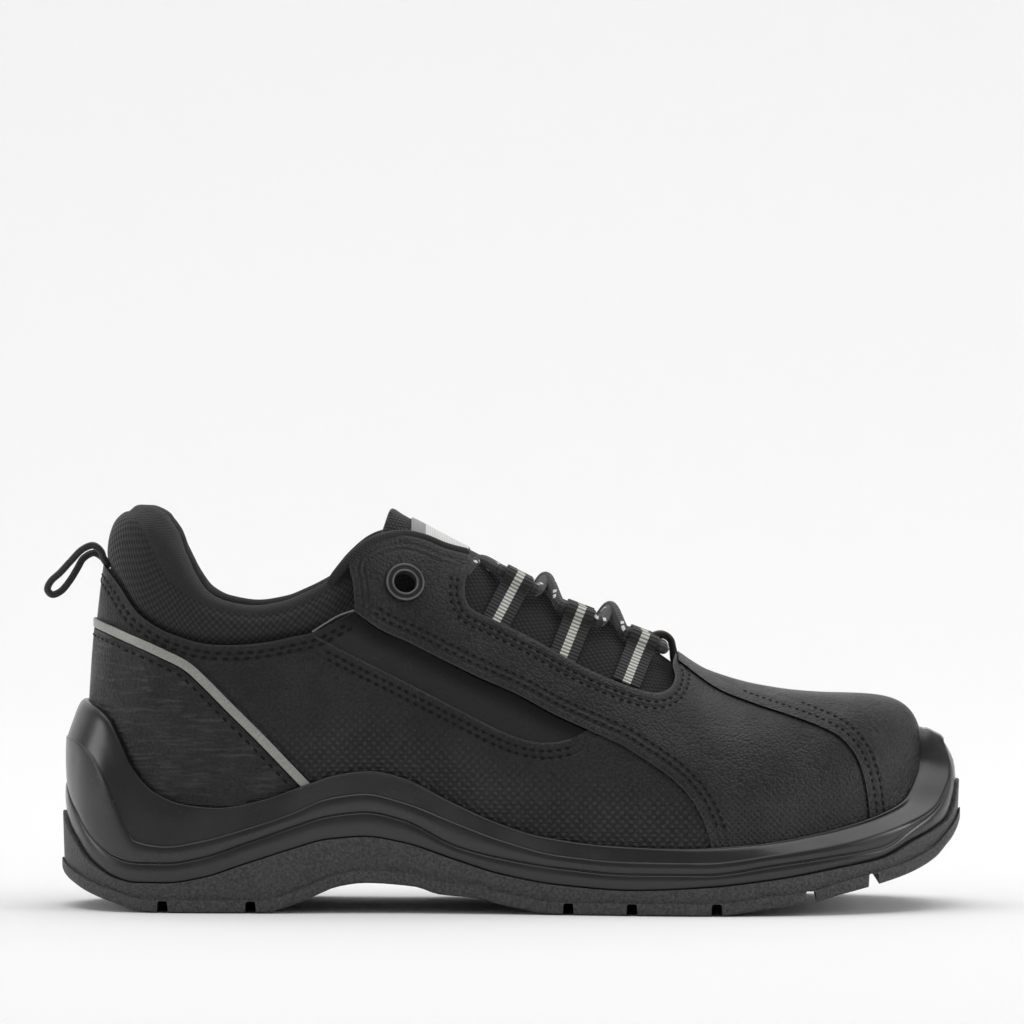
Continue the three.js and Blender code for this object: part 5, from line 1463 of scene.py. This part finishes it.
def dress(piece, materials, slot, *nodes):
    """Gives a piece its materials and its body, and hides the solids that it stands for. The slot is not
    used.
    """
    mesh = piece.data
    part = np.zeros(len(mesh.polygons), np.int32)
    mesh.polygons.foreach_get("material_index", part)
    mesh.materials.clear()
    for material in materials:
        mesh.materials.append(material)
    mesh.polygons.foreach_set("material_index", np.minimum(part, len(materials) - 1))
    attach(piece, "root")
    if nodes:
        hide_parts(*nodes)


set_camera()
set_studio()

# Braided cord: fine crossed strands, so the lace looks round and slightly rough
braid = add_braid("polyester_cord_braided", LACE_DIAMETER, True)
pull_braid = add_braid("polyester_cord_braided_thin", PULL_CORD_DIAMETER, False)
dress(make_pull_loop(), [pull_braid], "lace_cord", "pull_loop")

# Rubber from a grained mould: dull, grey and faintly speckled
rubber = add_moulded("nitrile_rubber_moulded", "#2a2a2a", "#4c4c4c", 0.55, 0.9, 0.8, 0.6)
dress(make_outsole(), [rubber], "outsole_rubber", "outsole")
# Foam skinned against a polished mould: smooth, brownish black, soft highlights on its edges
foam_skin = add_moulded("polyurethane_injected", "#110f0e", "#1b1716", 0.3, 16.0, 0.5, 0.03, Coat_Weight=0.35,
                        Coat_Roughness=0.25)
dress(make_midsole(), [foam_skin], "midsole_pu", "midsole")
# Woven cover of the insole: a flat fine weave, dark inside the shoe
board = add_mesh_cloth("polyester_insole_cover_woven", "#151515", "#2c2c2c", 1.3, 0.12)
dress(make_insole(), [board], "insole_foam", "insole")

OPENING_ROWS = ("from_opening", (2.6, 4.5))
OVERLAY_ROWS = ("from_overlay", (2.8, 5.1))
# Leathers from one black hide, each pressed with its own grain, so the panels part by their sheen. The toe
# cap is painted lighter than the quarter, and the vamp and counter a little lighter, as painted light on
# them.
quarter = add_leather("cowhide_quarter_embossed", "#0f0f0f", "#232323", 0.9, 0.3, 0.48,
                      (OPENING_ROWS, ("from_panel", (2.7, 5.0)), ("from_strip", (2.7,))), pressed_dots)
vamp = add_leather("cowhide_vamp_embossed", "#111111", "#272727", 0.9, 0.3, 0.45,
                   (OPENING_ROWS, OVERLAY_ROWS), crossed_lines)
# Painted light: the toe cap's lighter colours stand for the light falling on the toe.
toe_cap = add_leather("cowhide_toe_cap_pebbled", "#161616", "#313131", 1.1, 0.45, 0.45,
                      (("from_toe_seam", (2.9, 5.0)),))
counter = add_leather("cowhide_counter_creased", "#121212", "#262626", 1.0, 0.25, 0.46,
                      (("from_strip", (2.7,)),), level_wrinkles)
# The sunk panel carries a painted shadow along the overlay's edge.
panel = add_leather("microfibre_panel_coated", "#030303", "#0c0c0c", 0.8, 0.03, 0.27, (), painted_overlay_shadow)
# Knitted lining: soft and matt inside the leather
lining = add_mesh_cloth("polyester_lining_knitted", "#121212", "#2a2a2a", 1.4, 0.2)
dress(make_upper(), [quarter, vamp, toe_cap, counter, panel, lining], "upper_leather", "upper")
dress(make_strip(), [add_tape()], "reflective", "reflective_strip")

# Mesh of collar and tongue: open cells in rows that catch light on their walls
collar_mesh = add_mesh_cloth("polyester_collar_mesh_knitted", "#060606", "#2b2b2b", 2.4, 0.3,
                             ("above_roll_seam", 0.9))
tongue_mesh = add_mesh_cloth("polyester_tongue_mesh_knitted", "#050505", "#1d1d1d", 2.4, 0.25)
dress(make_collar(), [collar_mesh], "collar_mesh", "collar")
dress(make_tongue(), [tongue_mesh], "collar_mesh", "tongue")
dress(make_label(), [add_label_cloth()], "label_fabric", "tongue_label")

ring_metal = add_eyelet_metal()
# Cut edge of the lining cloth: a thin light line
rib_knit_light = add_mesh_cloth("polyester_raw_edge_woven", "#4a4a48", "#8c8c88", 0.9, 0.05)
rib_knit = add_mesh_cloth("polyester_binding_rib_knitted", "#111111", "#2b2b2b", 1.2, 0.12)
webbing = add_webbing()
for name, side in SIDES.items():
    dress(make_eyelet(name, side), [ring_metal], "eyelet_metal", "eyelet_" + name)
    dress(make_binding(name, side), [rib_knit], "binding_knit", "eyestay_binding_" + name)
    for number, frame_of_loop in enumerate(FRAMES[name], 1):
        dress(make_loop(name, number, frame_of_loop), [webbing], "webbing", f"lace_loop_{name}_{number}")
dress(make_lace(), [braid], "lace_cord", "lace")
# Glazed hide: brownish grey, smoother and shinier than the upper
keeper_hide = add_leather("cowhide_keeper_glazed", "#3b3835", "#55524e", 1.2, 0.05, 0.3, ())
dress(make_keeper(), [keeper_hide], "keeper_leather", "lace_keeper")
dress(make_stitching(), [add_thread()], "upper_leather")
for name, side in SIDES.items():
    dress(make_raw_edge(name, side), [rib_knit_light], "binding_knit")
